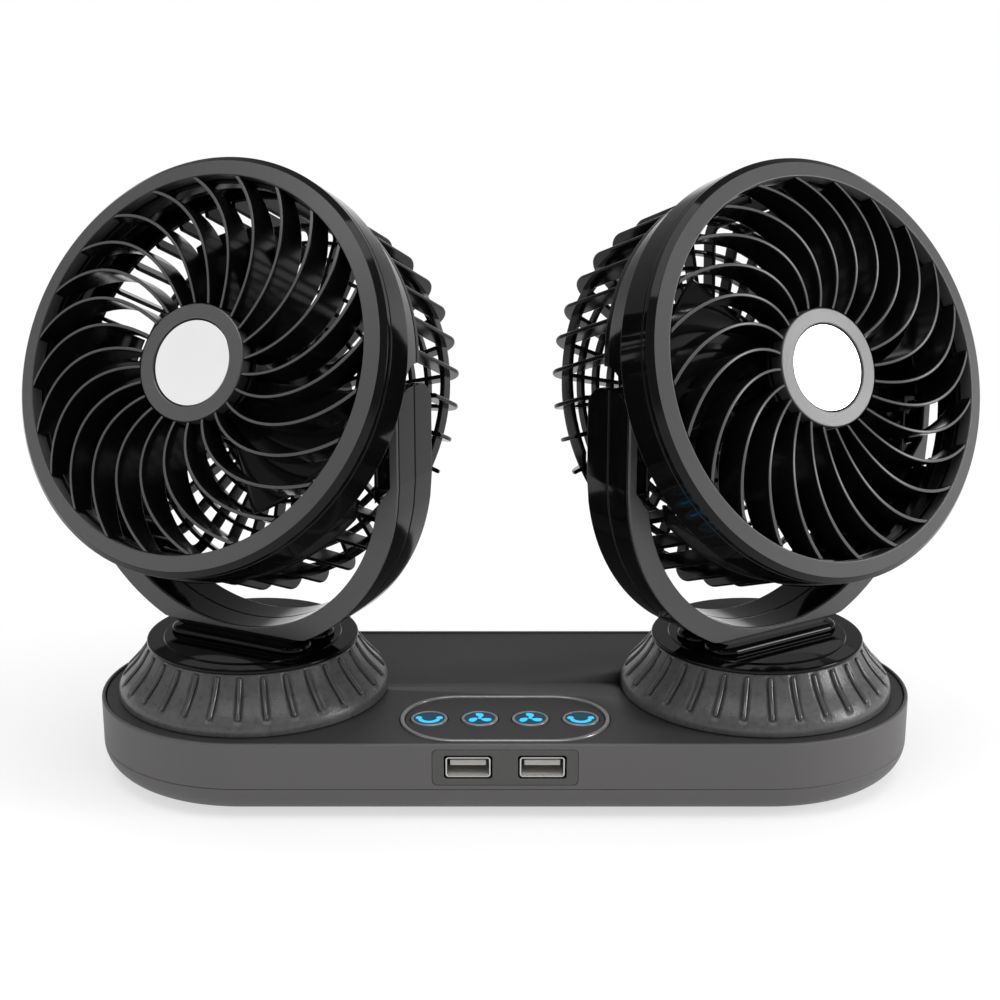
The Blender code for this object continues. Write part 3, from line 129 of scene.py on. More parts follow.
# zinc-plated deep-drawn steel: motor cans and washers
zincSteel = grainMaterial("zincPlatedSteel", "#9a9b9d", "#8b8c8f", 0.32, 1.5, 0.006, 20.0, 0.5, 1.0)
# black-passivated steel cans of the fan motors
canSteel = grainMaterial("blackPassivatedSteel", "#3a3a3c", "#303032", 0.35, 1.5, 0.006, 20.0, 0.5, 1.0)
# bright nickel on the socket shells
nickelShell = grainMaterial("nickelPlatedShell", "#c3c3c1", "#b5b5b3", 0.22, 1.0, 0.004, 15.0, 0.5, 1.0)
# gold flash on the socket contacts
goldContact = grainMaterial("goldFlashContact", "#c9a24a", "#b8913c", 0.25, 1.0, 0.003, 10.0, 0.5, 1.0)
# gloss on the fan blades: dark grey polycarbonate with a polished face
bladeGloss = grainMaterial("polishedBladePolycarbonate", "#1c1c1d", "#18181a", 0.10, 14.0, 0.020, 40.0, 0.35)
# beads of the skirt: the same ABS as the skirt from polished grooves in the mould
beadAbs = grainMaterial("polishedBeadAbs", "#505052", "#444446", 0.16, 8.0, 0.010, 30.0, 0.80)
# satin chrome on ABS: the trim round the keys
chromeTrim = grainMaterial("satinChromeTrim", "#a4a4a6", "#98989a", 0.22, 4.0, 0.004, 15.0, 0.5, 0.55)
# front-coated mirror of the hub
mirrorDisc = grainMaterial("vacuumCoatedMirror", "#eeeeee", "#e6e6e6", 0.03, 20.0, 0.006, 20.0, 0.5, 1.0)
# satin chrome ring round each key
keyRing = grainMaterial("satinKeyRing", "#a4a6a8", "#989a9c", 0.28, 2.0, 0.004, 15.0, 0.5, 0.45)


def litMaterial(name, colour, glow, strength, roughness=0.3):
    # plastic that also gives light of its own; a slow noise keeps the light from being even
    made, tree, shader = newMaterial(name, {"Base Color": linearColour(colour), "Roughness": roughness,
                                            "Emission Strength": strength})
    place = addNode(tree, "ShaderNodeTexCoord").outputs["Object"]
    cloud = addNode(tree, "ShaderNodeTexNoise", {"Scale": 1 / (3.0 * mm), "Detail": 2.0}, {"Vector": place})
    dim = [value * 0.75 for value in linearColour(glow)[:3]] + [1.0]
    tint = addNode(tree, "ShaderNodeMix", {"data_type": "RGBA", 6: dim, 7: linearColour(glow)},
                   {0: cloud.outputs["Fac"]})
    tree.links.new(tint.outputs[2], shader.inputs["Emission Color"])
    return made


# polycarbonate light guide of the symbols, and the dimly lit field round them
symbolGlow = litMaterial("litSymbolPolycarbonate", "#28a0da", "#34bdee", 0.95)
fieldGlow = litMaterial("litKeyFieldPolycarbonate", "#06222e", "#0b6a88", 0.30, 0.50)


def spunMaterial(name, colour, roughness, grooveMm, grooveDepthMm):
    # lacquered metal with fine turned grooves: the "turnRadius" attribute holds each point's radius in mm
    made, tree, shader = newMaterial(name, {"Base Color": linearColour(colour), "Metallic": 0.60,
                                            "Roughness": roughness})
    radius = addNode(tree, "ShaderNodeAttribute", {"attribute_name": "turnRadius"}).outputs["Fac"]
    wave = addNode(tree, "ShaderNodeMath", {"operation": "MULTIPLY", 1: 2 * math.pi / grooveMm}, {0: radius})
    ridge = addNode(tree, "ShaderNodeMath", {"operation": "SINE"}, {0: wave.outputs[0]})
    bump = addNode(tree, "ShaderNodeBump", {"Strength": 1.0, "Distance": grooveDepthMm * mm},
                   {"Height": ridge.outputs[0]})
    tree.links.new(bump.outputs["Normal"], shader.inputs["Normal"])
    return made


# spun aluminium of the hub ring, lacquered grey; the real 0.1 mm grooves are drawn at 0.5 mm
spunHub = spunMaterial("spunLacqueredAluminium", "#626262", 0.36, 0.50, 0.012)
print("materials ready:", len(bpy.data.materials))


# Mesh helpers

def meshPiece(name, points, faces, sharpAngle=35.0, radii=None):
    # points: (n, 3) array in metres; poles and seams are merged and the shell's faces point outwards
    mesh = bpy.data.meshes.new(name)
    mesh.from_pydata(points.tolist(), [], faces)
    if radii is not None:
        held = mesh.attributes.new("turnRadius", "FLOAT", "POINT")
        held.data.foreach_set("value", radii.astype(np.float32))
    shell = bmesh.new()
    shell.from_mesh(mesh)
    bmesh.ops.remove_doubles(shell, verts=shell.verts, dist=0.0005 * mm)
    if shell.calc_volume(signed=True) < 0:
        bmesh.ops.reverse_faces(shell, faces=shell.faces)
    shell.to_mesh(mesh)
    shell.free()
    mesh.shade_smooth()
    mesh.set_sharp_from_angle(angle=math.radians(sharpAngle))
    piece = bpy.data.objects.new(name, mesh)
    bpy.context.scene.collection.objects.link(piece)
    return piece


def gridFaces(rows, columns, wrapRows, wrapColumns, start=0):
    # quads between neighbours of a rows x columns grid, with flat caps over rows or columns that stay open
    index = start + np.arange(rows * columns).reshape(rows, columns)
    below = np.roll(index, -1, axis=0)
    quads = np.stack([index, below, np.roll(below, -1, axis=1), np.roll(index, -1, axis=1)], axis=-1)
    quads = quads if wrapRows else quads[:-1]
    quads = quads if wrapColumns else quads[:, :-1]
    faces = quads.reshape(-1, 4).tolist()
    if not wrapRows:
        faces += [index[0].tolist(), index[-1, ::-1].tolist()]
    if not wrapColumns:
        faces += [index[::-1, 0].tolist(), index[:, -1].tolist()]
    return faces


def gridPiece(name, grids, wrapRows=False, wrapColumns=True, sharpAngle=35.0, radii=None):
    # one mesh from one or more (rows, columns, 3) grids
    points, faces, start = [], [], 0
    for grid in grids:
        rows, columns = grid.shape[:2]
        faces += gridFaces(rows, columns, wrapRows, wrapColumns, start)
        points.append(grid.reshape(-1, 3))
        start += rows * columns
    return meshPiece(name, np.concatenate(points), faces, sharpAngle, radii)


def roundAngles(steps):
    return np.linspace(0, 2 * np.pi, steps, endpoint=False)


def rays(angles):
    # unit vectors, one row for each angle
    return np.stack([np.cos(angles), np.sin(angles)], axis=1)


def plug(radius, low, high, lowEdge=0, highEdge=0):
    # outline of a solid that fills its path from low to high, with a fillet on each rim
    return [(0, low, 0), (radius, low, lowEdge), (radius, high, highEdge), (0, high, 0)]


def filleted(corners, steps=5):
    # corners: (x, y, radius) in order round a closed outline; each is rounded by an arc that meets both sides
    outline = []
    count = len(corners)
    for i, (x, y, radius) in enumerate(corners):
        here = np.array([x, y])
        back = np.array(corners[i - 1][:2]) - here
        ahead = np.array(corners[(i + 1) % count][:2]) - here
        back, ahead = back / np.linalg.norm(back), ahead / np.linalg.norm(ahead)
        half = math.acos(np.clip(back @ ahead, -1, 1)) / 2
        if radius == 0 or half > math.radians(89):
            outline.append(here)
            continue
        middle = here + (back + ahead) / np.linalg.norm(back + ahead) * radius / math.sin(half)
        first = here + back * radius / math.tan(half) - middle
        last = here + ahead * radius / math.tan(half) - middle
        turn = math.atan2(first[0] * last[1] - first[1] * last[0], first @ last)
        angles = math.atan2(first[1], first[0]) + turn * np.linspace(0, 1, steps + 1)
        outline += list(middle + radius * rays(angles))
    return np.array(outline)


def circlePath(steps=128):
    # a turned piece: the path is one point, and its normals go once round
    normals = rays(roundAngles(steps))
    return np.zeros_like(normals), normals


def roundedPath(halfX, halfY, corner, centre=(0, 0), steps=12):
    # a rounded rectangle in mm: each corner arc's own centre, and the outward normals along it
    starts = np.repeat([-90, 0, 90, 180], steps + 1) + np.tile(np.linspace(0, 90, steps + 1), 4)
    signs = np.repeat([[1, -1], [1, 1], [-1, 1], [-1, -1]], steps + 1, axis=0)
    centres = np.array(centre) + signs * np.array([halfX - corner, halfY - corner])
    return centres * mm, rays(np.radians(starts))


def carriedGrid(path, profile):
    # profile point (r, z) at path point i: (x, y) = path + r * normal, z = z
    centres, normals = path
    flat = centres[:, None, :] + normals[:, None, :] * profile[None, :, :1]
    heights = np.broadcast_to(profile[None, :, 1:2], flat.shape[:2] + (1,))
    return np.concatenate([flat, heights], axis=2)


def carried(name, path, corners, place, steps=5, sharpAngle=35.0):
    # a filleted profile (r, z in mm) carried round a closed path; from r = 0 to r = 0 it closes on itself
    profile = filleted(corners, steps)
    closed = corners[0][0] > 0 or corners[-1][0] > 0
    radii = np.tile(profile[:, 0], len(path[0]))
    return gridPiece(name, [place(carriedGrid(path, profile * mm))], True, closed, sharpAngle, radii)


def turned(name, corners, place, around=128, steps=5):
    return carried(name, circlePath(around), corners, place, steps)


def sectionTable(steps=3):
    # a filleted rectangle: (share, edges) across and (share, edges) sideways for each point of its outline
    rows = []
    for start, across, side in ((180, 0, 0), (270, 1, 0), (0, 1, 1), (90, 0, 1)):
        for angle in np.radians(start + np.linspace(0, 90, steps + 1)):
            inX = math.cos(angle) + 1 - 2 * across
            inY = math.sin(angle) + 1 - 2 * side
            rows.append((across, inX, side, inY))
    return np.array(rows)


def ribbonGrid(inside, outside, low, high, sideways, edge):
    # station i, outline point k, in metres from sizes in mm, with edges rounded by edge:
    # inside + (share * width + edge * x) * across + (low + share * (high - low) + edge * y) * sideways
    table = sectionTable()
    width = np.linalg.norm(outside - inside, axis=1)[:, None]
    across = (outside - inside) / width
    low, high, edge = [np.broadcast_to(value, len(inside))[:, None] for value in (low, high, edge)]
    sideways = np.broadcast_to(sideways, inside.shape)
    a = table[None, :, 0] * width + table[None, :, 1] * edge
    b = low + table[None, :, 2] * (high - low) + table[None, :, 3] * edge
    aside = a[:, :, None] * across[:, None, :]
    return (inside[:, None, :] + aside + b[:, :, None] * sideways[:, None, :]) * mm


def resolved(piece):
    # the piece's modifiers made real
    source = piece.evaluated_get(bpy.context.evaluated_depsgraph_get())
    mesh = bpy.data.meshes.new_from_object(source)
    piece.modifiers.clear()
    piece.data = mesh
    return piece


def cutBy(piece, cutters, sharpAngle=35.0, keep=False):
    # takes the cutters out of the piece
    for cutter in cutters:
        cut = piece.modifiers.new("cut", "BOOLEAN")
        cut.operation = "DIFFERENCE"
        cut.object = cutter
    resolved(piece)
    piece.data.set_sharp_from_angle(angle=math.radians(sharpAngle))
    if not keep:
        for cutter in cutters:
            bpy.data.objects.remove(cutter, do_unlink=True)
    return piece


def dressed(piece, material, body, slotName, *nodes):
    # material, body and the CAD nodes that the piece stands for; flat faces beside fillets shade flat
    even = piece.modifiers.new("evenNormals", "WEIGHTED_NORMAL")
    even.keep_sharp = True
    resolved(piece)
    piece.data.materials.clear()
    piece.data.materials.append(material)
    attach(piece, body)
    if nodes:
        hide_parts(*nodes)
    return piece


def secondFinish(piece, material, above):
    # gives the material to the faces whose points all have a "turnRadius" above the limit
    values = np.zeros(len(piece.data.vertices), np.float32)
    piece.data.attributes["turnRadius"].data.foreach_get("value", values)
    piece.data.materials.append(material)
    chosen = [int(min(values[v] for v in face.vertices) > above) for face in piece.data.polygons]
    piece.data.polygons.foreach_set("material_index", chosen)


def asIs(grid):
    return grid


def standing(x, y, z):
    # local X, Y, Z stay, moved to a place in mm
    return lambda grid: grid + np.array([x, y, z]) * mm


def outOfSide(place, sign):
    # local Z runs out of a head's side, along the tilt axis
    return lambda grid: place(np.stack([sign * grid[..., 2], grid[..., 1], -sign * grid[..., 0]], axis=-1))


# Where each head is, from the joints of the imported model

def headFrames(side):
    joints = {joint["name"]: joint for joint in frame["joints"]}
    tilt, spin = joints[side + "_tilt"], joints[side + "_fan_spin"]
    pivot = np.array(tilt["pos_m"], float)
    across = -np.array(tilt["axis"], float)
    across /= np.linalg.norm(across)
    axis = np.array(spin["axis"], float)
    axis /= np.linalg.norm(axis)
    up = np.array([0, 0, 1.0])
    yokeAxes = np.array([across, up, np.cross(across, up)])
    headAxes = np.array([across, np.cross(axis, across), axis])
    yokeTurn = np.array([across, np.cross(up, across), up])
    floorPoint = np.array([pivot[0], pivot[1], 0])
    return {"side": side,
            "inHead": lambda grid: grid @ headAxes + pivot,
            "inYoke": lambda grid: grid @ yokeAxes + pivot,
            "onPedestal": lambda grid: grid @ yokeTurn + floorPoint}


heads = [headFrames(side) for side in ("left", "right")]
axial = np.array([0.0, 0.0, 1.0])


# Base: lower tray and upper housing, moulded halves that meet in a fine seam

base = {"halfLength": 130.0, "halfDepth": 48.9, "wall": 2.2, "seam": 10.3, "top": 24.9, "rim": 1.2,
        "deck": 22.9, "under": 20.9, "traySkirt": 39.6, "trayUnder": 1.1, "trayTop": 10.25, "trayFloor": 3.3,
        "trayBend": (6.5, 2.5), "pedestal": 81.1, "spindleHole": 7.9, "slot": (22.12, 5.87, 1.5),
        "slotFloor": 45.7, "window": (30.4, 15.7), "inletHole": 4.3, "inletDeep": -3.2, "inletHeight": 15.6}


def basePath(steps=32):
    return roundedPath(base["halfLength"], base["halfDepth"], base["halfDepth"], (0, 0), steps)


def spindleCutters(radius, low, high):
    # the holes for the two spindles
    return [turned("spindleCutter", plug(radius, low, high), standing(sign * base["pedestal"], 0, 0), 64)
            for sign in (-1, 1)]


def buildBase():
    # r is measured from the line that joins the centres of the two round ends
    outer, wall = base["halfDepth"], base["wall"]
    inRim = outer - base["rim"]
    shell = carried("baseHousing", basePath(), [
        (0, base["deck"], 0), (inRim, base["deck"], 0.1), (inRim, base["top"], 0.25),
        (outer, base["top"], 0.7), (outer, base["seam"], 0.1), (outer - wall, base["seam"], 0.2),
        (outer - wall, base["under"], 0.6), (0, base["under"], 0)], asIs)
    under, over = base["under"] - past, base["deck"] + past
    slotX, slotY, corner = base["slot"]
    windowX, windowY = base["window"]
    cutters = [
        carried("slotCutter", roundedPath(slotX, slotY, corner, (0, usb["centre"]), 8),
                plug(corner, base["slotFloor"], outer + past), frontWall),
        carried("windowCutter", roundedPath(windowX, windowY, windowY, (0, deck["centreY"]), 16),
                plug(windowY, under, over), asIs),
        turned("inletCutter", plug(base["inletHole"], base["inletDeep"], past), rearWall, 48)]
    cutBy(shell, cutters + spindleCutters(base["spindleHole"], under, over))
    dressed(shell, baseAbs, "base", "base_grey", "base_housing")

    curve = [(base["traySkirt"] + (outer - base["traySkirt"]) * math.sin(a),
              base["trayUnder"] + (base["trayTop"] - base["trayUnder"]) * (1 - math.cos(a)), 0)
             for a in np.linspace(0, math.pi / 2, 13)]
    lip = [(outer, base["trayTop"] - 0.01, 0.45), (outer - wall, base["trayTop"], 0.2)]
    bendHeight, bendReach = base["trayBend"]
    inner = [(outer - wall, bendHeight, 1.0), (outer - wall - bendReach, base["trayFloor"], 1.5),
             (0, base["trayFloor"], 0)]
    tray = carried("baseTray", basePath(), [(0, base["trayUnder"], 0)] + curve[:-1] + lip + inner, asIs)
    dressed(tray, baseAbs, "base", "base_grey", "base_tray")


def frontWall(grid):
    # local Z points out of the front wall, local Y up
    return np.stack([grid[..., 0], -grid[..., 2], grid[..., 1]], axis=-1)


def rearWall(grid):
    # local Z points out of the rear wall from the middle of the lead inlet
    return np.stack([-grid[..., 0], grid[..., 2] + base["halfDepth"] * mm,
                     grid[..., 1] + base["inletHeight"] * mm], axis=-1)


# Deck: acrylic sheet, chrome trim, key plate and keys

deck = {"low": 23.2, "top": 24.4, "inset": 1.5, "trimHalf": 32.6, "trimDepth": 17.9, "trimWidth": 1.3,
        "trimTop": 25.0, "centreY": -28.1, "keyX": (-23.55, -7.85, 7.85, 23.55), "bore": 6.0, "gap": 0.3,
        "spindleHole": 8.6, "chamfer": 0.35, "chamferLow": 24.25, "chamferTop": 24.55}


def buildDeck():
    reach = base["halfDepth"] - deck["inset"]
    path = roundedPath(base["halfLength"] - deck["inset"], reach, reach, (0, 0), 32)
    sheet = carried("deckSheet", path, plug(reach, deck["low"], deck["top"], 0.1, 0.35), asIs)
    under, over = deck["low"] - past, deck["top"] + past
    gap = deck["gap"]
    hole = deck["trimDepth"] + gap
    path = roundedPath(deck["trimHalf"] + gap, hole, hole, (0, deck["centreY"]), 20)
    cutters = [carried("trimCutter", path, plug(hole, under, over), asIs)]
    cutBy(sheet, cutters + spindleCutters(deck["spindleHole"], under, over))
    dressed(sheet, deckAcrylic, "base", "panel_black", "top_panel")

    outer, inner = deck["trimDepth"], deck["trimDepth"] - deck["trimWidth"]
    path = roundedPath(deck["trimHalf"], outer, outer, (0, deck["centreY"]), 24)
    trim = carried("keyTrim", path, [(inner, deck["low"], 0.1), (outer, deck["low"], 0.1),
                                     (outer, deck["trimTop"], 0.4), (inner, deck["trimTop"], 0.4)], asIs)
    dressed(trim, chromeTrim, "base", "trim_chrome", "control_trim")

    reach = inner - gap
    path = roundedPath(deck["trimHalf"] - deck["trimWidth"] - gap, reach, reach, (0, deck["centreY"]), 24)
    plate = carried("keyPlate", path, plug(reach, deck["low"], deck["top"], 0.1, 0.3), asIs)
    bore, mouth = deck["bore"], deck["bore"] + deck["chamfer"]
    cutters = [turned("boreCutter", [
        (0, under, 0), (bore, under, 0), (bore, deck["chamferLow"], 0), (mouth, deck["chamferTop"], 0),
        (mouth, over, 0), (0, over, 0)], standing(x, deck["centreY"], 0), 64) for x in deck["keyX"]]
    dressed(cutBy(plate, cutters), keyAcrylic, "base", "gloss_black", "control_plate")


key = {"radius": 5.7, "field": 4.85, "top": 24.8, "flange": 6.3, "flangeTop": 22.6, "flangeLow": 21.6,
       "stem": 1.6, "foot": 20.0, "symbolTop": 24.78, "symbolLow": 24.60, "symbolShoulder": 0.03,
       "crown": 0.08, "arcRadius": 3.0, "arcWidth": 1.35, "dotRadius": 1.0, "dotAt": 3.2, "dotRise": 0.15,
       "hub": 0.6, "leafCentre": 2.3, "leafHalf": 1.55, "leafWidth": 1.15, "leafSwell": 0.34,
       "leafLean": 0.22}


def symbolSlab(outline):
    # a flat symbol: its outline (mm) raised from the key's field, with the top drawn in slightly
    middle = outline.mean(axis=0)
    rings = [(outline, key["symbolLow"]), (outline, key["symbolTop"] - key["symbolShoulder"]),
             (middle + (outline - middle) * 0.97, key["symbolTop"])]
    return np.stack([np.column_stack([points, np.full(len(points), height)])
                     for points, height in rings]) * mm


def ringArc(radius, width, start, end, steps=24):
    # the outline of a stroke that follows an arc, in degrees, with round ends
    angles = np.radians(np.linspace(start, end, steps))
    outer = (radius + width / 2) * rays(angles)
    inner = (radius - width / 2) * rays(angles[::-1])
    ends = []
    for angle, turn in ((angles[-1], 0), (angles[0], math.pi)):
        sweep = angle + turn + np.linspace(0, math.pi, 9)[1:-1]
        centre = radius * np.array([math.cos(angle), math.sin(angle)])
        ends.append(centre + width / 2 * rays(sweep))
    return np.concatenate([outer, ends[0], inner, ends[1]])


def disc(x, y, radius, steps=24):
    return np.array([x, y]) + radius * rays(roundAngles(steps))


def swingSymbol():
    # an arc under a dot at each end
    shapes = [ringArc(key["arcRadius"], key["arcWidth"], 208, 332)]
    for angle in np.radians((178, 2)):
        shapes.append(disc(key["dotAt"] * math.cos(angle), key["dotAt"] * math.sin(angle) + key["dotRise"],
                           key["dotRadius"]))
    return shapes


def fanSymbol():
    # three leaning leaves round a hub: x = centre + half * cos(a)
    # y = (width + swell * cos(a)) * sin(a) + lean * half * cos(a)
    shapes = [disc(0, 0, key["hub"])]
    angles = roundAngles(32)
    along = key["leafHalf"] * np.cos(angles)
    wide = (key["leafWidth"] + key["leafSwell"] * np.cos(angles)) * np.sin(angles)
    leaf = np.stack([key["leafCentre"] + along, wide + key["leafLean"] * along], axis=1)
    for turn in np.radians([90, 210, 330]):
        spin = np.array([[math.cos(turn), math.sin(turn)], [-math.sin(turn), math.cos(turn)]])
        shapes.append(leaf @ spin)
    return shapes


def buildKeys():
    names = ("swing_left", "speed_left", "speed_right", "swing_right")
    bodies = ("swing_key_left", "speed_key_left", "speed_key_right", "swing_key_right")
    for i, (label, body, x) in enumerate(zip(names, bodies, deck["keyX"])):
        place = standing(x, deck["centreY"], 0)
        ring = turned("keyRing_" + label, [
            (key["field"], key["top"], 0.15), (key["radius"], key["top"], 0.35),
            (key["radius"], key["flangeTop"], 0), (key["flange"], key["flangeTop"], 0.1),
            (key["flange"], key["flangeLow"], 0.1), (key["field"], key["flangeLow"], 0)], place, 64)
        dressed(ring, keyRing, body, "key_blue", "key_" + label)
        field = turned("keyField_" + label, [
            (0, key["foot"], 0), (key["stem"], key["foot"], 0.1), (key["stem"], key["flangeLow"], 0.1),
            (key["field"], key["flangeLow"], 0.1), (key["field"], key["symbolLow"], 0.15),
            (0, key["symbolLow"] + key["crown"], 0)], place, 64)
        dressed(field, fieldGlow, body, "key_blue", "key_" + label)
        shapes = swingSymbol() if i in (0, 3) else fanSymbol()
        symbol = gridPiece("keySymbol_" + label, [place(symbolSlab(shape)) for shape in shapes])
        dressed(symbol, symbolGlow, body, "key_blue", "key_" + label)


# Sockets in the front wall and the lead inlet at the back

usb = {"x": (-11.2, 11.2), "centre": 17.45, "halfWidth": 6.3, "halfHeight": 2.75, "wall": 0.55, "gap": 0.5,
       "front": 48.6, "back": 32.8, "plateHalf": 22.0, "plateHeight": 5.75, "plateCorner": 1.5,
       "plateBack": 47.1, "plateFront": 48.9, "mouthCorner": 0.9, "chamfer": 0.2, "shellCorner": 0.5,
       # limits of the tongue's blade, its root and the plate on the shell's floor: x, z, depth, edge
       "bars": (((-5.4, 5.4), (17.8, 19.5), (34.0, 47.9), 0.2),
                ((-6.1, 6.1), (14.9, 20.0), (33.5, 35.5), 0.2),
                ((-6.2, 6.2), (14.72, 14.93), (34.0, 48.2), 0.1)),
       "contactX": (-3.5, -1.0, 1.0, 3.5), "contactHalf": (0.5, 0.1), "contactEdge": 0.05,
       "contactHeight": 17.78, "contactDepth": (35.6, 46.2)}


def buildSockets():
    corner, face = usb["plateCorner"], usb["plateFront"]
    path = roundedPath(usb["plateHalf"], usb["plateHeight"], corner, (0, usb["centre"]), 8)
    plate = carried("socketPlate", path, plug(corner, usb["plateBack"], face, 0.1, 0.12), frontWall)
    mouth = usb["wall"] + usb["gap"]
    hole, wide = usb["mouthCorner"], usb["mouthCorner"] + usb["chamfer"]
    deep, out = usb["plateBack"] - past, face + past
    mouthOutline = [(0, deep, 0), (hole, deep, 0), (hole, face - usb["chamfer"], 0), (wide, face, 0),
                    (wide, out, 0), (0, out, 0)]
    cutters = []
    for x in usb["x"]:
        path = roundedPath(usb["halfWidth"] + mouth, usb["halfHeight"] + mouth, hole, (x, usb["centre"]), 6)
        cutters.append(carried("mouthCutter", path, mouthOutline, frontWall))
    dressed(cutBy(plate, cutters), plateAbs, "base", "plate_grey", "usb_faceplate")

    inner, outer = usb["shellCorner"], usb["shellCorner"] + usb["wall"]
    back, floor, front = usb["back"], usb["back"] + usb["wall"], usb["front"]
    contactX, contactZ = usb["contactHalf"]
    contactEnds = filleted(plug(usb["contactEdge"], *usb["contactDepth"]))
    for side, x in zip(("left", "right"), usb["x"]):
        path = roundedPath(usb["halfWidth"], usb["halfHeight"], inner, (x, usb["centre"]), 6)
        shell = carried("socketShell_" + side, path, [
            (0, back, 0), (outer, back, 0.2), (outer, front, 0.18), (inner, front, 0.18), (inner, floor, 0.1),
            (0, floor, 0)], frontWall)
        dressed(shell, nickelShell, "base", "steel_plain", "usb_shell_" + side)
        grids = []
        for (x0, x1), (z0, z1), (y0, y1), edge in usb["bars"]:
            outline = roundedPath((x1 - x0) / 2, (z1 - z0) / 2, edge, (x + (x0 + x1) / 2, (z0 + z1) / 2), 4)
            grids.append(frontWall(carriedGrid(outline, filleted(plug(edge, y0, y1, 0.05, 0.1)) * mm)))
        tongue = gridPiece("socketTongue_" + side, grids, True, False)
        dressed(tongue, tongueLcp, "base", "tongue_white", "usb_tongue_" + side)
        grids = []
        for pin in usb["contactX"]:
            outline = roundedPath(contactX, contactZ, usb["contactEdge"], (x + pin, usb["contactHeight"]), 2)
            grids.append(frontWall(carriedGrid(outline, contactEnds * mm)))
        contacts = gridPiece("socketContacts_" + side, grids, True, False)
        dressed(contacts, goldContact, "base", "tongue_white", "usb_tongue_" + side)

    inlet = turned("leadInlet", [
        (5.0, 2.1, 0.4), (5.0, 0.3, 0.2), (4.0, 0.3, 0.1), (4.0, -2.5, 0.1), (5.0, -2.5, 0.2),
        (5.0, -4.3, 0.4), (2.4, -4.3, 0.2), (2.4, 2.1, 0.5)], rearWall, 64)
    dressed(inlet, rubberSkin, "base", "rubber_black", "lead_inlet")


# Pedestals: ribbed skirt, turntable and the hollow spindle under it

skirt = {"beads": 30, "groove": 0.95, "grooveHalf": 1.25, "beadHalf": 0.64, "beadProud": 0.50,
         "beadTop": 40.5, "beadEnd": 29.6, "neck": 33.4, "flarePoints": 40, "fade": 1.0,
         # the side from the neck down: hollow at first, then a round shoulder and the lip
         "flare": [(33.2, 41.1, 0.5), (36.6, 35.4, 26.0), (41.6, 30.2, 12.0), (43.4, 27.2, 5.0),
                   (43.4, 24.7, 0.2)],
         "inside": [(41.4, 24.7, 0.2), (40.2, 26.8, 0.5), (31.2, 39.1, 0.5), (7.9, 39.1, 0.2),
                    (7.9, 41.1, 0.2)]}


def buildSkirt(side, sign):
    profile = filleted(skirt["flare"] + skirt["inside"], 8)
    perBead = 24
    angles = roundAngles(skirt["beads"] * perBead)
    path = circlePath(len(angles))
    grid = carriedGrid(path, profile * mm)
    # groove under each bead: depth * exp(-(arc distance / half width)^4), fading out below the bead's end
    pitch = 2 * np.pi / skirt["beads"]
    off = (np.mod(angles, pitch) - pitch / 2)[:, None] * profile[None, :, 0]
    onFlare = (profile[:, 0] > skirt["neck"]) & (np.arange(len(profile)) < skirt["flarePoints"])
    onFlare = onFlare * np.clip((profile[:, 1] - skirt["beadEnd"]) / skirt["fade"] + 1, 0, 1)
    depth = skirt["groove"] * np.exp(-(off / skirt["grooveHalf"]) ** 4) * onFlare[None, :]
    grid[..., :2] -= path[1][:, None, :] * depth[..., None] * mm
    place = standing(sign * base["pedestal"], 0, 0)
    body = gridPiece("skirt_" + side, [place(grid)], True, True)
    dressed(body, skirtAbs, "base", "skirt_grey", side + "_pedestal_skirt")

    line = profile[:profile[:, 1].argmin()]
    heights = np.linspace(skirt["beadTop"], skirt["beadEnd"], 60)
    line = np.stack([np.interp(-heights, -line[:, 1], line[:, 0]), heights], axis=1)
    steps = np.append(0, np.cumsum(np.linalg.norm(np.diff(line, axis=0), axis=1)))
    along = steps[-1] * (0.5 - 0.5 * np.cos(np.linspace(0.02, math.pi - 0.02, 18)))
    spine = np.stack([np.interp(along, steps, line[:, 0]), np.interp(along, steps, line[:, 1])], axis=1)
    tangent = np.gradient(spine, axis=0)
    tangent /= np.linalg.norm(tangent, axis=1)[:, None]
    outward = np.stack([-tangent[:, 1], tangent[:, 0]], axis=1)
    # round ends: the section shrinks as the root of 1 - (distance past the end's centre / half width)^2
    near = np.minimum(along, steps[-1] - along)
    size = np.sqrt(np.clip(1 - (1 - np.clip(near / skirt["beadHalf"], 0, 1)) ** 2, 0.02, 1))
    around = roundAngles(12)
    radial = spine[:, None, :] + outward[:, None, :] * (skirt["beadProud"] * size[:, None, None]
                                                       * np.sin(around)[None, :, None])
    across = skirt["beadHalf"] * size[:, None] * np.cos(around)[None, :]
    beads = []
    for i in range(skirt["beads"]):
        turn = (i + 0.5) * pitch
        out = np.array([math.cos(turn), math.sin(turn)])
        over = np.array([-math.sin(turn), math.cos(turn)])
        flat = radial[..., :1] * out + across[..., None] * over
        beads.append(place(np.concatenate([flat, radial[..., 1:]], axis=2) * mm))
    rounds = gridPiece("skirtBeads_" + side, beads)
    dressed(rounds, beadAbs, "base", "skirt_grey", side + "_pedestal_skirt")


turntable = {"outline": [(4.5, 43.0, 0.2), (4.5, 12.5, 0.2), (7.6, 12.5, 0.3), (7.6, 41.4, 0.8),
                         (33.8, 41.4, 0.3), (33.8, 42.6, 0.6), (28.5, 42.6, 0.15), (28.2, 43.0, 0.15)],
             "footX": 25.0, "footY": 6.675, "footCorner": 6.0, "footAt": 6.825,
             "foot": [(0, 43.3, 0), (6.0, 43.3, 0.2), (6.0, 45.0, 1.4), (0, 45.4, 0)]}


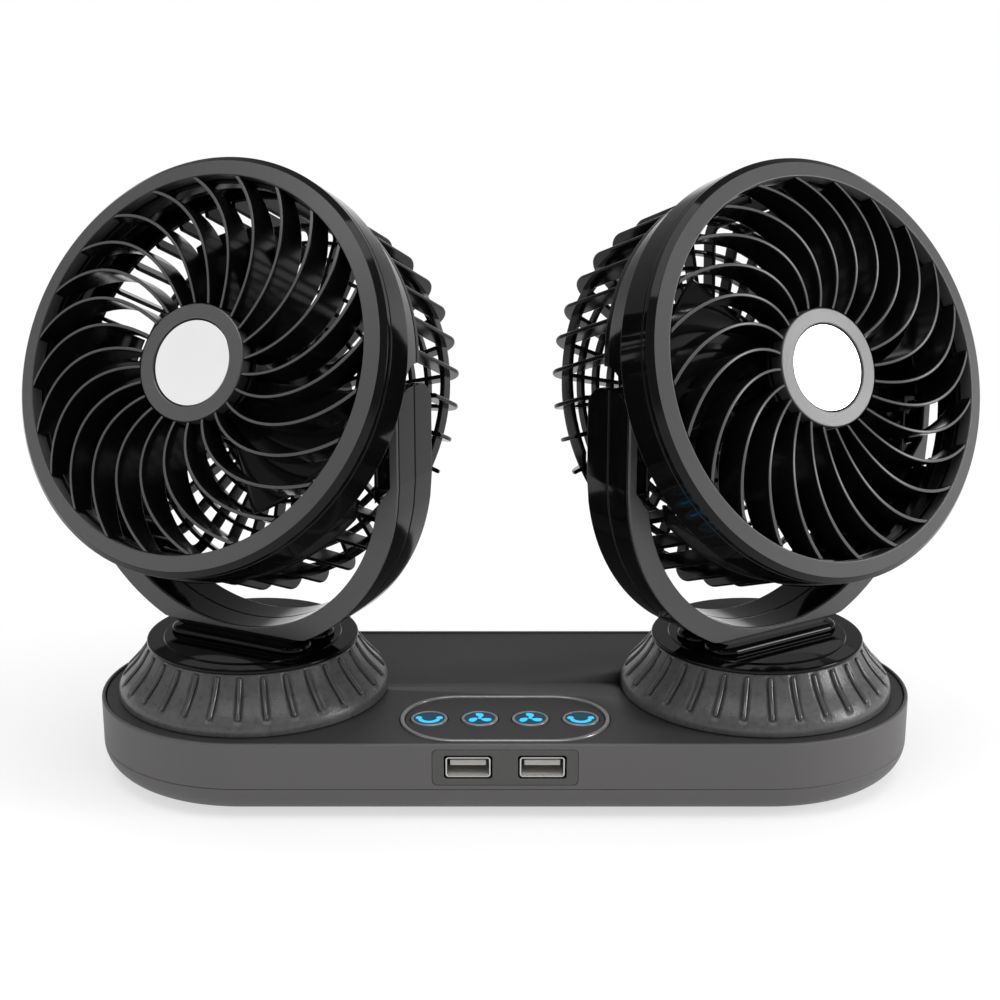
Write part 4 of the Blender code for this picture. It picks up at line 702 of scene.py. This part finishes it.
def buildTurntable(head):
    side = head["side"]
    table = turned("turntable_" + side, turntable["outline"], head["onPedestal"], 160)
    dressed(table, pianoBlack, side + "_swivel", "gloss_black", side + "_turntable")
    for end, sign in (("front", -1), ("rear", 1)):
        path = roundedPath(turntable["footX"], turntable["footY"], turntable["footCorner"],
                           (0, sign * turntable["footAt"]), 12)
        foot = carried("yokeFoot_" + end + "_" + side, path, turntable["foot"], head["onPedestal"])
        dressed(foot, pianoBlack, side + "_swivel", "gloss_black", side + "_yoke_" + end)


# Yoke: glossy front and rear shells, satin face, cheeks inside the arms

yoke = {"outer": 60.7, "inner": 54.0, "drop": 22.3, "top": 5.7, "corner": 8.0, "half": 10.9, "shell": 9.6,
        "rear": 10.6, "seam": 0.15, "faceRear": 9.9, "strip": 58.1, "shelf": -30.0, "slopeTop": -23.7,
        "footUnder": -81.4, "faceFoot": -77.3, "bulb": 3.0, "bulbAt": -1.0, "faceTop": 1.4, "edge": 0.35,
        "faceEdge": 0.25, "step": (2.0, 0.4)}


def armHalf(height, half):
    # half width of an arm whose top corners are rounded: half - corner + root(corner^2 - rise^2)
    rise = np.clip(height - (yoke["top"] - yoke["corner"]), 0, yoke["corner"])
    return half - yoke["corner"] + np.sqrt(yoke["corner"] ** 2 - rise ** 2)


def armStations(top, footLevel, bulb=False):
    # pairs of points on the inner and the outer edge of the U, from one arm's top to the other's (front view)
    shelfAngle = math.degrees(math.asin((yoke["shelf"] + yoke["drop"]) / yoke["inner"]))
    angles = np.radians(np.linspace(-90, shelfAngle, 36))
    ring = rays(angles)
    inside, outside = yoke["inner"] * ring, yoke["outer"] * ring
    inside[:, 1] -= yoke["drop"]
    outside[:, 1] = np.maximum(outside[:, 1] - yoke["drop"], footLevel)
    heights = yoke["slopeTop"] + (top - yoke["slopeTop"]) * np.sin(np.linspace(0, math.pi / 2, 40))
    strip = np.full(len(heights), yoke["strip"])
    if bulb:
        strip = strip - np.sqrt(np.clip(yoke["bulb"] ** 2 - (heights - yoke["bulbAt"]) ** 2, 0, None))
    inside = np.concatenate([inside, np.stack([strip, heights], axis=1)])
    # the lowest stretch of the arm's outer edge is raised a little, clear of the end of the U's arc
    stretch, lift = yoke["step"]
    raised = np.where(heights < -yoke["drop"] + stretch, heights + lift, heights)
    outside = np.concatenate([outside, np.stack([np.full(len(heights), yoke["outer"]), raised], axis=1)])
    mirror = np.array([-1, 1])
    inside = np.concatenate([inside[:0:-1] * mirror, inside])
    outside = np.concatenate([outside[:0:-1] * mirror, outside])
    zeros = np.zeros((len(inside), 1))
    return np.hstack([inside, zeros]), np.hstack([outside, zeros])


def buildYoke(head):
    side, place = head["side"], head["inYoke"]
    inside, outside = armStations(yoke["top"], yoke["footUnder"])
    half = armHalf(outside[:, 1], yoke["half"])
    for end, low, high in (("Front", yoke["seam"], np.minimum(half, yoke["shell"])),
                           ("Rear", -np.minimum(half, yoke["rear"]), -yoke["seam"])):
        grid = ribbonGrid(inside, outside, low, high, axial, yoke["edge"])
        shell = gridPiece("yoke" + end + "_" + side, [place(grid)])
        dressed(shell, pianoBlack, side + "_swivel", "gloss_black", side + "_yoke_" + end.lower())
    inside, outside = armStations(yoke["faceTop"], yoke["faceFoot"], True)
    front = armHalf(outside[:, 1], yoke["half"])
    edge = np.clip(0.45 * (front - yoke["faceRear"]), 0, yoke["faceEdge"])
    grid = ribbonGrid(inside, outside, yoke["faceRear"], front, axial, edge)
    face = gridPiece("yokeFace_" + side, [place(grid)])
    dressed(face, flakePaint, side + "_swivel", "satin_grey", side + "_yoke_face")


cheek = {"inner": 51.3, "outer": 57.8, "half": 8.5, "slopeLow": -29.7, "slopeHigh": -23.4, "slotAt": -18.0,
         "slotLength": 14.0, "slotWidth": 4.0, "slotDepth": 2.2, "slotCorner": 0.8, "slotChamfer": (0.2, 0.3),
         "bore": 5.3, "edge": 0.25, "pinRise": 4.0,
         "pin": [(0, 0, 0), (1.7, 0, 0.1), (1.7, 1.3, 0.5), (0, 1.5, 0)]}


def buildCheeks(head):
    side, place = head["side"], head["inYoke"]
    share = np.sin(np.linspace(0, math.pi / 2, 30))
    low = cheek["slopeLow"] + (yoke["top"] - cheek["slopeLow"]) * share
    high = cheek["slopeHigh"] + (yoke["top"] - cheek["slopeHigh"]) * share
    zeros = np.zeros(len(share))
    half = armHalf(np.maximum(low, high), cheek["half"])
    face, corner = cheek["half"], cheek["slotCorner"]
    floor = face - cheek["slotDepth"]
    slotX, slotY = cheek["slotWidth"] / 2, cheek["slotLength"] / 2
    chamferDeep, chamferWide = cheek["slotChamfer"]
    wide = corner + chamferWide
    slotOutline = [(0, floor, 0), (corner, floor, 0), (corner, face - chamferDeep, 0), (wide, face, 0),
                   (wide, face + past, 0), (0, face + past, 0)]
    for tag, sign in (("a", -1), ("b", 1)):
        inside = np.stack([np.full(len(share), sign * cheek["inner"]), low, zeros], axis=1)
        outside = np.stack([np.full(len(share), sign * cheek["outer"]), high, zeros], axis=1)
        grid = ribbonGrid(inside, outside, -half, half, axial, cheek["edge"])
        piece = gridPiece("cheek_" + tag + "_" + side, [place(grid)])
        middle = sign * (cheek["inner"] + cheek["outer"]) / 2
        path = roundedPath(slotX, slotY, corner, (middle, cheek["slotAt"]), 6)
        slot = carried("cheekCutter", path, slotOutline, place)
        bore = turned("boreCutter", plug(cheek["bore"], cheek["inner"] - past, cheek["outer"] + past),
                      outOfSide(place, sign), 48)
        cutBy(piece, [slot, bore])
        dressed(piece, pianoBlack, side + "_swivel", "gloss_black", side + "_cheek_" + tag)
        # the round stop that shows in the slot
        inSlot = standing(middle, cheek["slotAt"] + cheek["pinRise"], floor)
        pin = turned("cheekPin_" + tag + "_" + side, cheek["pin"], lambda grid: place(inSlot(grid)), 32)
        dressed(pin, guardBlack, side + "_swivel", "gloss_black", side + "_cheek_" + tag)


# Head: everything turned about the fan axis; w runs forward from the tilt pivot

# the room that an arm sweeps through the head: radius about the pivot, angle, reach, and the floor's shape
sweep = {"radius": 12.6, "degrees": 145, "reach": 80.0, "lastSide": (-0.5736, -0.8192), "floor": 49.8,
         "bowRadius": 52.8, "bowDrop": 22.3, "bowFrom": 39.8, "leastFloor": 13.7}


def sweepCutters(head):
    # across the wedge (rows), then outwards along its floor and back at its full reach (columns)
    # floor; further than bowFrom from the pivot line root(bowRadius^2 - (distance - bowDrop)^2), if less
    near = sweep["radius"] * rays(np.radians(np.linspace(0, sweep["degrees"], 28)))
    share = np.linspace(0, 1, 28)[:, None]
    sides = (1 - share) * np.array([0, -1.0]) + share * np.array(sweep["lastSide"])
    far = near[0] * (1 - share) + near[-1] * share + sweep["reach"] * sides
    rows = (np.linspace(0, 1, 40) ** 1.2)[:, None, None]
    flat = near[None] * (1 - rows) + far[None] * rows
    reach = np.linalg.norm(flat, axis=2)
    square = sweep["bowRadius"] ** 2 - (reach - sweep["bowDrop"]) ** 2
    bow = np.sqrt(np.clip(square, sweep["leastFloor"] ** 2, None))
    floor = np.where(reach > sweep["bowFrom"], np.minimum(bow, sweep["floor"]), sweep["floor"])
    made = []
    for sign in (-1, 1):
        bottom = np.stack([sign * floor, flat[..., 1], flat[..., 0]], axis=-1)
        top = np.stack([np.full_like(floor, sign * sweep["reach"]), flat[..., 1], flat[..., 0]], axis=-1)
        grid = np.concatenate([bottom, top[::-1]]).transpose(1, 0, 2) * mm
        made.append(gridPiece("sweepCutter", [head["inHead"](grid)]))
    return made


# outlines (radius, w, fillet) about the fan axis; the opening is a plain rectangle, cut through a sector
shroud = {"outline": [(64.2, 24.0, 0.3), (64.2, 13.6, 0.4), (62.9, 13.1, 0.2), (61.9, 4.0, 0.4),
                      (60.0, 4.0, 0.3), (61.0, 11.2, 0.4), (49.8, 11.2, 0.5), (49.8, -9.0, 0.4),
                      (48.0, -9.0, 0.4), (48.0, 14.6, 0.5), (62.2, 14.6, 0.4), (62.2, 24.0, 0.3)],
          "opening": [(47.0, -10.0), (59.4, -10.0), (59.4, 15.6), (47.0, 15.6)], "openingHalfDegrees": 76,
          "trunnion": (5.0, 48.9, 57.2), "paintEnds": 62.35,
          "bezel": [(57.8, 29.3, 0.35), (62.6, 28.0, 0.3), (64.2, 26.2, 0.35), (64.2, 24.3, 0.3),
                    (57.8, 24.3, 0.2)]}


def openingCutters(head):
    # the open sectors above and below the motor: angle along the rows, the opening's rectangle across
    corners = np.array(shroud["opening"])
    half = shroud["openingHalfDegrees"]
    made = []
    for middle in (90, -90):
        flat = corners[None, :, :1] * rays(np.radians(middle + np.linspace(-half, half, 80)))[:, None, :]
        heights = np.broadcast_to(corners[None, :, 1:], flat.shape[:2] + (1,))
        grid = np.concatenate([flat, heights], axis=2) * mm
        made.append(gridPiece("openingCutter", [head["inHead"](grid)]))
    return made


def buildShroud(head, cutters):
    side, place = head["side"], head["inHead"]
    shell = turned("shroud_" + side, shroud["outline"], place, 160)
    cutBy(shell, cutters, keep=True)
    cutBy(shell, openingCutters(head))
    dressed(shell, pianoBlack, side + "_head", "gloss_black", side + "_shroud")
    for sign, tag in ((-1, "a"), (1, "b")):
        pin = turned("trunnion_" + tag + "_" + side, plug(*shroud["trunnion"], 0, 0.5),
                     outOfSide(place, sign), 48)
        dressed(pin, guardBlack, side + "_head", "gloss_black", side + "_shroud")
    bezel = turned("bezel_" + side, shroud["bezel"], place, 192)
    dressed(bezel, flakePaint, side + "_head", "satin_grey", side + "_bezel")
    secondFinish(bezel, pianoBlack, shroud["paintEnds"])


vane = {"count": 24, "start": 18.3, "end": 57.5, "front": 29.1, "bulge": 3.8, "rear": 20.6, "thickness": 1.1,
        "startAngle": 10.0, "sweep": 32.6, "power": 1.65, "edge": 0.4}

grille = {"ring": [(61.9, 24.0, 0.2), (61.9, 19.0, 0.2), (56.6, 19.0, 0.4), (56.6, 24.0, 0.4)],
          "hub": (19.2, 17.8, 24.3, 0.8, 0.6),
          "hubRing": [(13.4, 29.3, 0.3), (18.0, 29.3, 0.5), (18.0, 24.6, 0.2), (13.4, 24.6, 0.1)],
          "mirror": [(0, 24.6, 0), (13.1, 24.6, 0.1), (13.1, 28.7, 0.25), (0, 29.0, 0)]}


def buildGrille(head):
    side, place = head["side"], head["inHead"]
    ring = turned("grilleRing_" + side, grille["ring"], place, 160)
    dressed(ring, guardBlack, side + "_head", "gloss_black", side + "_front_grille")
    rod = turned("grilleHub_" + side, plug(*grille["hub"]), place, 96)
    dressed(rod, guardBlack, side + "_head", "gloss_black", side + "_front_grille")

    # angle = start + sweep * share^power, both faces half a thickness off that line
    # front edge = front + bulge * (1 - (2 * share - 1)^2)
    share = np.linspace(0, 1, 25)
    radius = vane["start"] + (vane["end"] - vane["start"]) * share
    bend = math.radians(vane["sweep"])
    angle = math.radians(vane["startAngle"]) + bend * share ** vane["power"]
    lean = radius * bend * vane["power"] * share ** (vane["power"] - 1) / (vane["end"] - vane["start"])
    across = vane["thickness"] / 2 * np.hypot(1, lean) / radius
    front = vane["front"] + vane["bulge"] * (1 - (2 * share - 1) ** 2)
    grids = []
    for i in range(vane["count"]):
        start = 2 * math.pi * i / vane["count"] + angle
        edges = [np.stack([radius * np.cos(start + off), radius * np.sin(start + off), 0 * radius], axis=1)
                 for off in (-across, across)]
        grids.append(ribbonGrid(*edges, vane["rear"], front, axial, vane["edge"]))
    # columns 10 to 13 (front flat, a third of each fillet) carry a grey strip: satin paint and a painted
    # highlight
    edgePaintAndHighlight = np.tile(np.isin(np.arange(16), (10, 11, 12, 13)), len(grids) * len(share))
    vanes = gridPiece("vanes_" + side, [place(grid) for grid in grids], sharpAngle=50.0, radii=edgePaintAndHighlight)
    dressed(vanes, guardBlack, side + "_head", "gloss_black", side + "_front_grille")
    # grey strip on the front edges: partly satin paint, partly a painted highlight of the rounded edge
    secondFinish(vanes, flakePaint, 0.5)

    hub = turned("hubRing_" + side, grille["hubRing"], place, 128)
    dressed(hub, spunHub, side + "_head", "satin_grey", side + "_hub_ring")
    badge = turned("hubMirror_" + side, grille["mirror"], place, 128)
    dressed(badge, mirrorDisc, side + "_head", "badge_mirror", side + "_hub_badge")


cage = {"fins": 36, "thickness": 1.3, "outer": 61.5, "inner": 56.0, "top": 3.2, "rear": -33.0, "corner": 8.5,
        "shelf": -27.5, "cupWall": 19.5, "straightTo": -10, "flatFrom": 36, "elbow": 2, "edge": 0.5,
        "rings": (26.5, 32.0, 37.5, 43.0, 48.5, 54.0), "ringHalf": 0.65, "ringFront": -29.5,
        "ringRear": -32.8, "flange": [(61.9, 3.7, 0.2), (61.9, 1.7, 0.4), (58.5, 1.7, 0.3), (58.5, 3.7, 0.2)],
        "hoop": [(58.3, -22.4, 0.4), (58.3, -27.0, 0.4), (56.8, -27.0, 0.4), (56.8, -22.4, 0.4)],
        "cup": [(0, -30.6, 0), (18.3, -30.6, 0.5), (18.3, -12.0, 0.4), (20.7, -12.0, 0.6), (20.7, -34.0, 1.5),
                (0, -34.0, 0)]}


def buildCage(head, cutters):
    side, place = head["side"], head["inHead"]
    # both edges of a fin: straight back, a quarter circle, then inwards to the motor cup
    quarter = rays(np.radians(np.linspace(0, -90, 11)))
    lines = []
    for wall, level, bend in ((cage["inner"], cage["shelf"], cage["elbow"]),
                              (cage["outer"], cage["rear"], cage["corner"])):
        arc = np.array([wall - bend, level + bend]) + bend * quarter
        lines.append(np.concatenate([[(wall, cage["top"]), (wall, cage["straightTo"])], arc,
                                     [(cage["flatFrom"], level), (cage["cupWall"], level)]]))
    half = cage["thickness"] / 2
    grids = []
    for i in range(cage["fins"]):
        around = 2 * math.pi * (i + 0.5) / cage["fins"]
        out = np.array([math.cos(around), math.sin(around), 0])
        over = np.array([-math.sin(around), math.cos(around), 0])
        inside, outside = [line[:, :1] * out + line[:, 1:] * axial for line in lines]
        grids.append(place(ribbonGrid(inside, outside, -half, half, over, cage["edge"])))
    fins = gridPiece("cageFins_" + side, grids)
    flange = turned("cageFlange_" + side, cage["flange"], place, 160)
    hoop = turned("cageHoop_" + side, cage["hoop"], place, 128)
    # rings of the rear guard, let into the fins
    grids = []
    for radius in cage["rings"]:
        far, near = radius + cage["ringHalf"], radius - cage["ringHalf"]
        section = filleted([(far, cage["ringFront"], 0.4), (far, cage["ringRear"], 0.4),
                            (near, cage["ringRear"], 0.4), (near, cage["ringFront"], 0.4)])
        grids.append(place(carriedGrid(circlePath(), section * mm)))
    rings = gridPiece("cageRings_" + side, grids, True, True)
    for piece in (fins, flange, hoop, rings):
        cutBy(piece, cutters, keep=True)
        dressed(piece, guardBlack, side + "_head", "gloss_black", side + "_rear_cage")
    cup = turned("motorCup_" + side, cage["cup"], place, 96)
    dressed(cup, guardBlack, side + "_head", "gloss_black", side + "_rear_cage")


# fan blade: chord angle at the root and what it loses by the tip, both in degrees; the rest in mm
drive = {"motor": [(0, -8.5, 0), (1.9, -8.5, 0), (1.9, 1.7, 0.2), (5.0, 1.7, 0.4), (5.0, 0.5, 0.2),
                   (18.0, 0.5, 1.2), (18.0, -30.3, 0.8), (0, -30.3, 0)],
         "nose": [(0, 13.0, 0), (1.9, 13.0, 0), (1.9, 3.5, 0.2), (14.5, 3.5, 0.4), (14.5, 16.5, 2.0),
                  (0, 16.5, 0)],
         "blades": 3, "root": 13.1, "tip": 47.0, "chord": 64, "narrowing": 2, "pitch": 10, "middle": 10,
         "halfThick": 0.7, "camber": 0.6, "restDegrees": {"left": 90, "right": 45}}


def buildDrive(head):
    side, place = head["side"], head["inHead"]
    motor = turned("fanMotor_" + side, drive["motor"], place, 96)
    dressed(motor, canSteel, side + "_head", "steel_plain", side + "_fan_motor")
    nose = turned("impellerHub_" + side, drive["nose"], place, 96)
    dressed(nose, bladeGloss, side + "_fan", "gloss_black", side + "_impeller")
    # blade: angle and height run across the chord, radius along the span
    # height = middle - pitch * (chord share - 1/2) + camber * sin(pi * chord share) * sin(pi * span share)
    # half thickness = halfThick * root(1 - |2 * chord share - 1|^5), drawn in at the tip
    chord = 0.5 - 0.5 * np.cos(np.linspace(0, np.pi, 22))
    slab = drive["halfThick"] * (1 - np.abs(2 * chord - 1) ** 5) ** 0.5
    chord, offset = np.concatenate([chord, chord[-2:0:-1]]), np.concatenate([slab, -slab[-2:0:-1]])
    share = np.append(np.linspace(0, 0.97, 14), [0.985, 0.995, 1.0])
    tip = np.append(np.ones(14), [0.9, 0.6, 0.25])
    radius = (drive["root"] + (drive["tip"] - drive["root"]) * share)[:, None]
    span = np.radians(drive["chord"] - drive["narrowing"] * share)
    rest = math.radians(drive["restDegrees"][side])
    height = drive["middle"] - drive["pitch"] * (chord[None, :] - 0.5) + offset[None, :] * tip[:, None]
    height = height + drive["camber"] * np.sin(np.pi * chord)[None, :] * np.sin(np.pi * share)[:, None]
    grids = []
    for blade in range(drive["blades"]):
        angle = rest + 2 * math.pi * blade / drive["blades"] + span[:, None] * (chord[None, :] - 0.5)
        grids.append(place(np.stack([radius * np.cos(angle), radius * np.sin(angle), height], axis=-1) * mm))
    blades = gridPiece("impellerBlades_" + side, grids, sharpAngle=60.0)
    dressed(blades, bladeGloss, side + "_fan", "gloss_black", side + "_impeller")


def buildHidden():
    # pieces inside the housing and behind the fans keep their CAD shape
    finishes = {"circuit_board": solderMask, "grip_pad": rubberSkin}
    for side in ("left_", "right_"):
        for part in ("swing_gear", "swing_pinion"):
            finishes[side + part] = nylonGear
        for part in ("swing_motor", "motor_shaft", "tilt_washer_a", "tilt_washer_b"):
            finishes[side + part] = zincSteel
    for node, material in finishes.items():
        frame["nodes"][node].data.materials.clear()
        frame["nodes"][node].data.materials.append(material)


buildBase()
buildDeck()
buildKeys()
buildSockets()
print("base done")
for head, sign in zip(heads, (-1, 1)):
    buildSkirt(head["side"], sign)
    buildTurntable(head)
    buildYoke(head)
    buildCheeks(head)
    cutters = sweepCutters(head)
    buildShroud(head, cutters)
    buildGrille(head)
    buildCage(head, cutters)
    buildDrive(head)
    for cutter in cutters:
        bpy.data.objects.remove(cutter, do_unlink=True)
    print(head["side"], "head done")
buildHidden()


# Stage: camera, floor, white surroundings and soft lamps

# the camera that was fitted to the photograph: lens and sensor in mm, places in metres, straight down = 0
view = {"lens": 68.29, "sensor": 36, "place": (-0.00156, -0.5739, 0.2577), "tiltDegrees": 73.44,
        "farthest": 20}


def buildCamera():
    lens = bpy.data.cameras.new("camera")
    lens.lens = view["lens"]
    lens.sensor_width = view["sensor"]
    lens.clip_end = view["farthest"]
    camera = bpy.data.objects.new("camera", lens)
    camera.location = view["place"]
    camera.rotation_euler = (math.radians(view["tiltDegrees"]), 0, 0)
    bpy.context.scene.collection.objects.link(camera)
    bpy.context.scene.camera = camera


# sizes in metres: the glow is full out to the first radius and plain white from the second
ground = {"radius": 6, "below": 0.0002, "glow": 0.62, "shadowGrey": 0.40, "paperGrey": 0.80,
          "fade": (0.22, 0.55)}


def grey(value):
    return (value, value, value, 1)


def buildFloor():
    # pale diffuse floor; rays from the camera and from reflections also see it glow, so it reads as white
    bpy.ops.mesh.primitive_circle_add(vertices=96, radius=ground["radius"], fill_type="NGON",
                                      location=(0, 0, -ground["below"]))
    floor = bpy.context.object
    floor.name = "floor"
    made = bpy.data.materials.new("paperFloor")
    made.use_nodes = True
    tree = made.node_tree
    tree.nodes.clear()
    path = addNode(tree, "ShaderNodeLightPath")
    seen = addNode(tree, "ShaderNodeMath", {"operation": "MAXIMUM"},
                   {0: path.outputs["Is Camera Ray"], 1: path.outputs["Is Glossy Ray"]})
    glow = addNode(tree, "ShaderNodeEmission", {"Color": grey(1), "Strength": ground["glow"]})
    matt = addNode(tree, "ShaderNodeBsdfDiffuse", {"Color": grey(ground["shadowGrey"])})
    pale = addNode(tree, "ShaderNodeBsdfDiffuse", {"Color": grey(ground["paperGrey"])})
    paper = addNode(tree, "ShaderNodeEmission", {"Color": grey(1), "Strength": 1.0})
    both = addNode(tree, "ShaderNodeAddShader", {}, {0: glow.outputs[0], 1: matt.outputs[0]})
    place = addNode(tree, "ShaderNodeTexCoord").outputs["Object"]
    away = addNode(tree, "ShaderNodeVectorMath", {"operation": "LENGTH"}, {0: place})
    start, end = ground["fade"]
    fade = addNode(tree, "ShaderNodeMapRange",
                   {"interpolation_type": "SMOOTHSTEP", "From Min": start, "From Max": end},
                   {"Value": away.outputs["Value"]})
    plain = addNode(tree, "ShaderNodeMixShader", {},
                    {0: fade.outputs[0], 1: both.outputs[0], 2: paper.outputs[0]})
    mixed = addNode(tree, "ShaderNodeMixShader", {},
                    {0: seen.outputs[0], 1: pale.outputs[0], 2: plain.outputs[0]})
    addNode(tree, "ShaderNodeOutputMaterial", {}, {"Surface": mixed.outputs[0]})
    floor.data.materials.append(made)


# strengths of the surroundings, and the rise of a ray (Z of its direction) over which white turns to grey
studioLight = {"matt": 0.55, "low": 1.0, "overhead": 0.28, "rise": (0.03, 0.20)}


def buildWorld():
    # even light for matt surfaces; the camera sees white, and reflections and transmission see a studio that
    # is white near the floor and grey overhead
    world = bpy.data.worlds.new("studio")
    bpy.context.scene.world = world
    world.use_nodes = True
    tree = world.node_tree
    tree.nodes.clear()
    path = addNode(tree, "ShaderNodeLightPath")
    first = addNode(tree, "ShaderNodeMath", {"operation": "MAXIMUM"},
                    {0: path.outputs["Is Camera Ray"], 1: path.outputs["Is Glossy Ray"]})
    seen = addNode(tree, "ShaderNodeMath", {"operation": "MAXIMUM"},
                   {0: first.outputs[0], 1: path.outputs["Is Transmission Ray"]})
    direction = addNode(tree, "ShaderNodeTexCoord").outputs["Generated"]
    ray = addNode(tree, "ShaderNodeSeparateXYZ", {}, {0: direction})
    start, end = studioLight["rise"]
    studio = addNode(tree, "ShaderNodeMapRange",
                     {"interpolation_type": "SMOOTHSTEP", "From Min": start, "From Max": end,
                      "To Min": studioLight["low"], "To Max": studioLight["overhead"]},
                     {"Value": ray.outputs["Z"]})
    shown = addNode(tree, "ShaderNodeMath", {"operation": "MAXIMUM"},
                    {0: studio.outputs[0], 1: path.outputs["Is Camera Ray"]})
    strength = addNode(tree, "ShaderNodeMix", {2: studioLight["matt"]},
                       {0: seen.outputs[0], 3: shown.outputs[0]})
    light = addNode(tree, "ShaderNodeBackground", {"Color": grey(1)}, {"Strength": strength.outputs[0]})
    addNode(tree, "ShaderNodeOutputWorld", {}, {"Surface": light.outputs[0]})


def addLamp(name, place, aim, width, height, watts):
    # a soft rectangular lamp, sizes in metres
    lamp = bpy.data.lights.new(name, "AREA")
    lamp.shape = "RECTANGLE"
    lamp.size, lamp.size_y, lamp.energy = width, height, watts
    holder = bpy.data.objects.new(name, lamp)
    holder.location = place
    holder.rotation_euler = (Vector(place) - Vector(aim)).to_track_quat("Z", "Y").to_euler()
    bpy.context.scene.collection.objects.link(holder)


buildCamera()
buildFloor()
buildWorld()
addLamp("overheadBox", (0.0, -0.2, 1.3), (0, 0, 0.05), 1.2, 0.9, 9)
addLamp("rightBox", (1.3, -0.25, 0.52), (0.05, 0, 0.12), 0.42, 0.5, 8)
addLamp("leftBox", (-1.26, -0.46, 0.75), (-0.05, 0, 0.12), 0.6, 0.6, 0.8)
bpy.context.scene.view_settings.view_transform = "Standard"
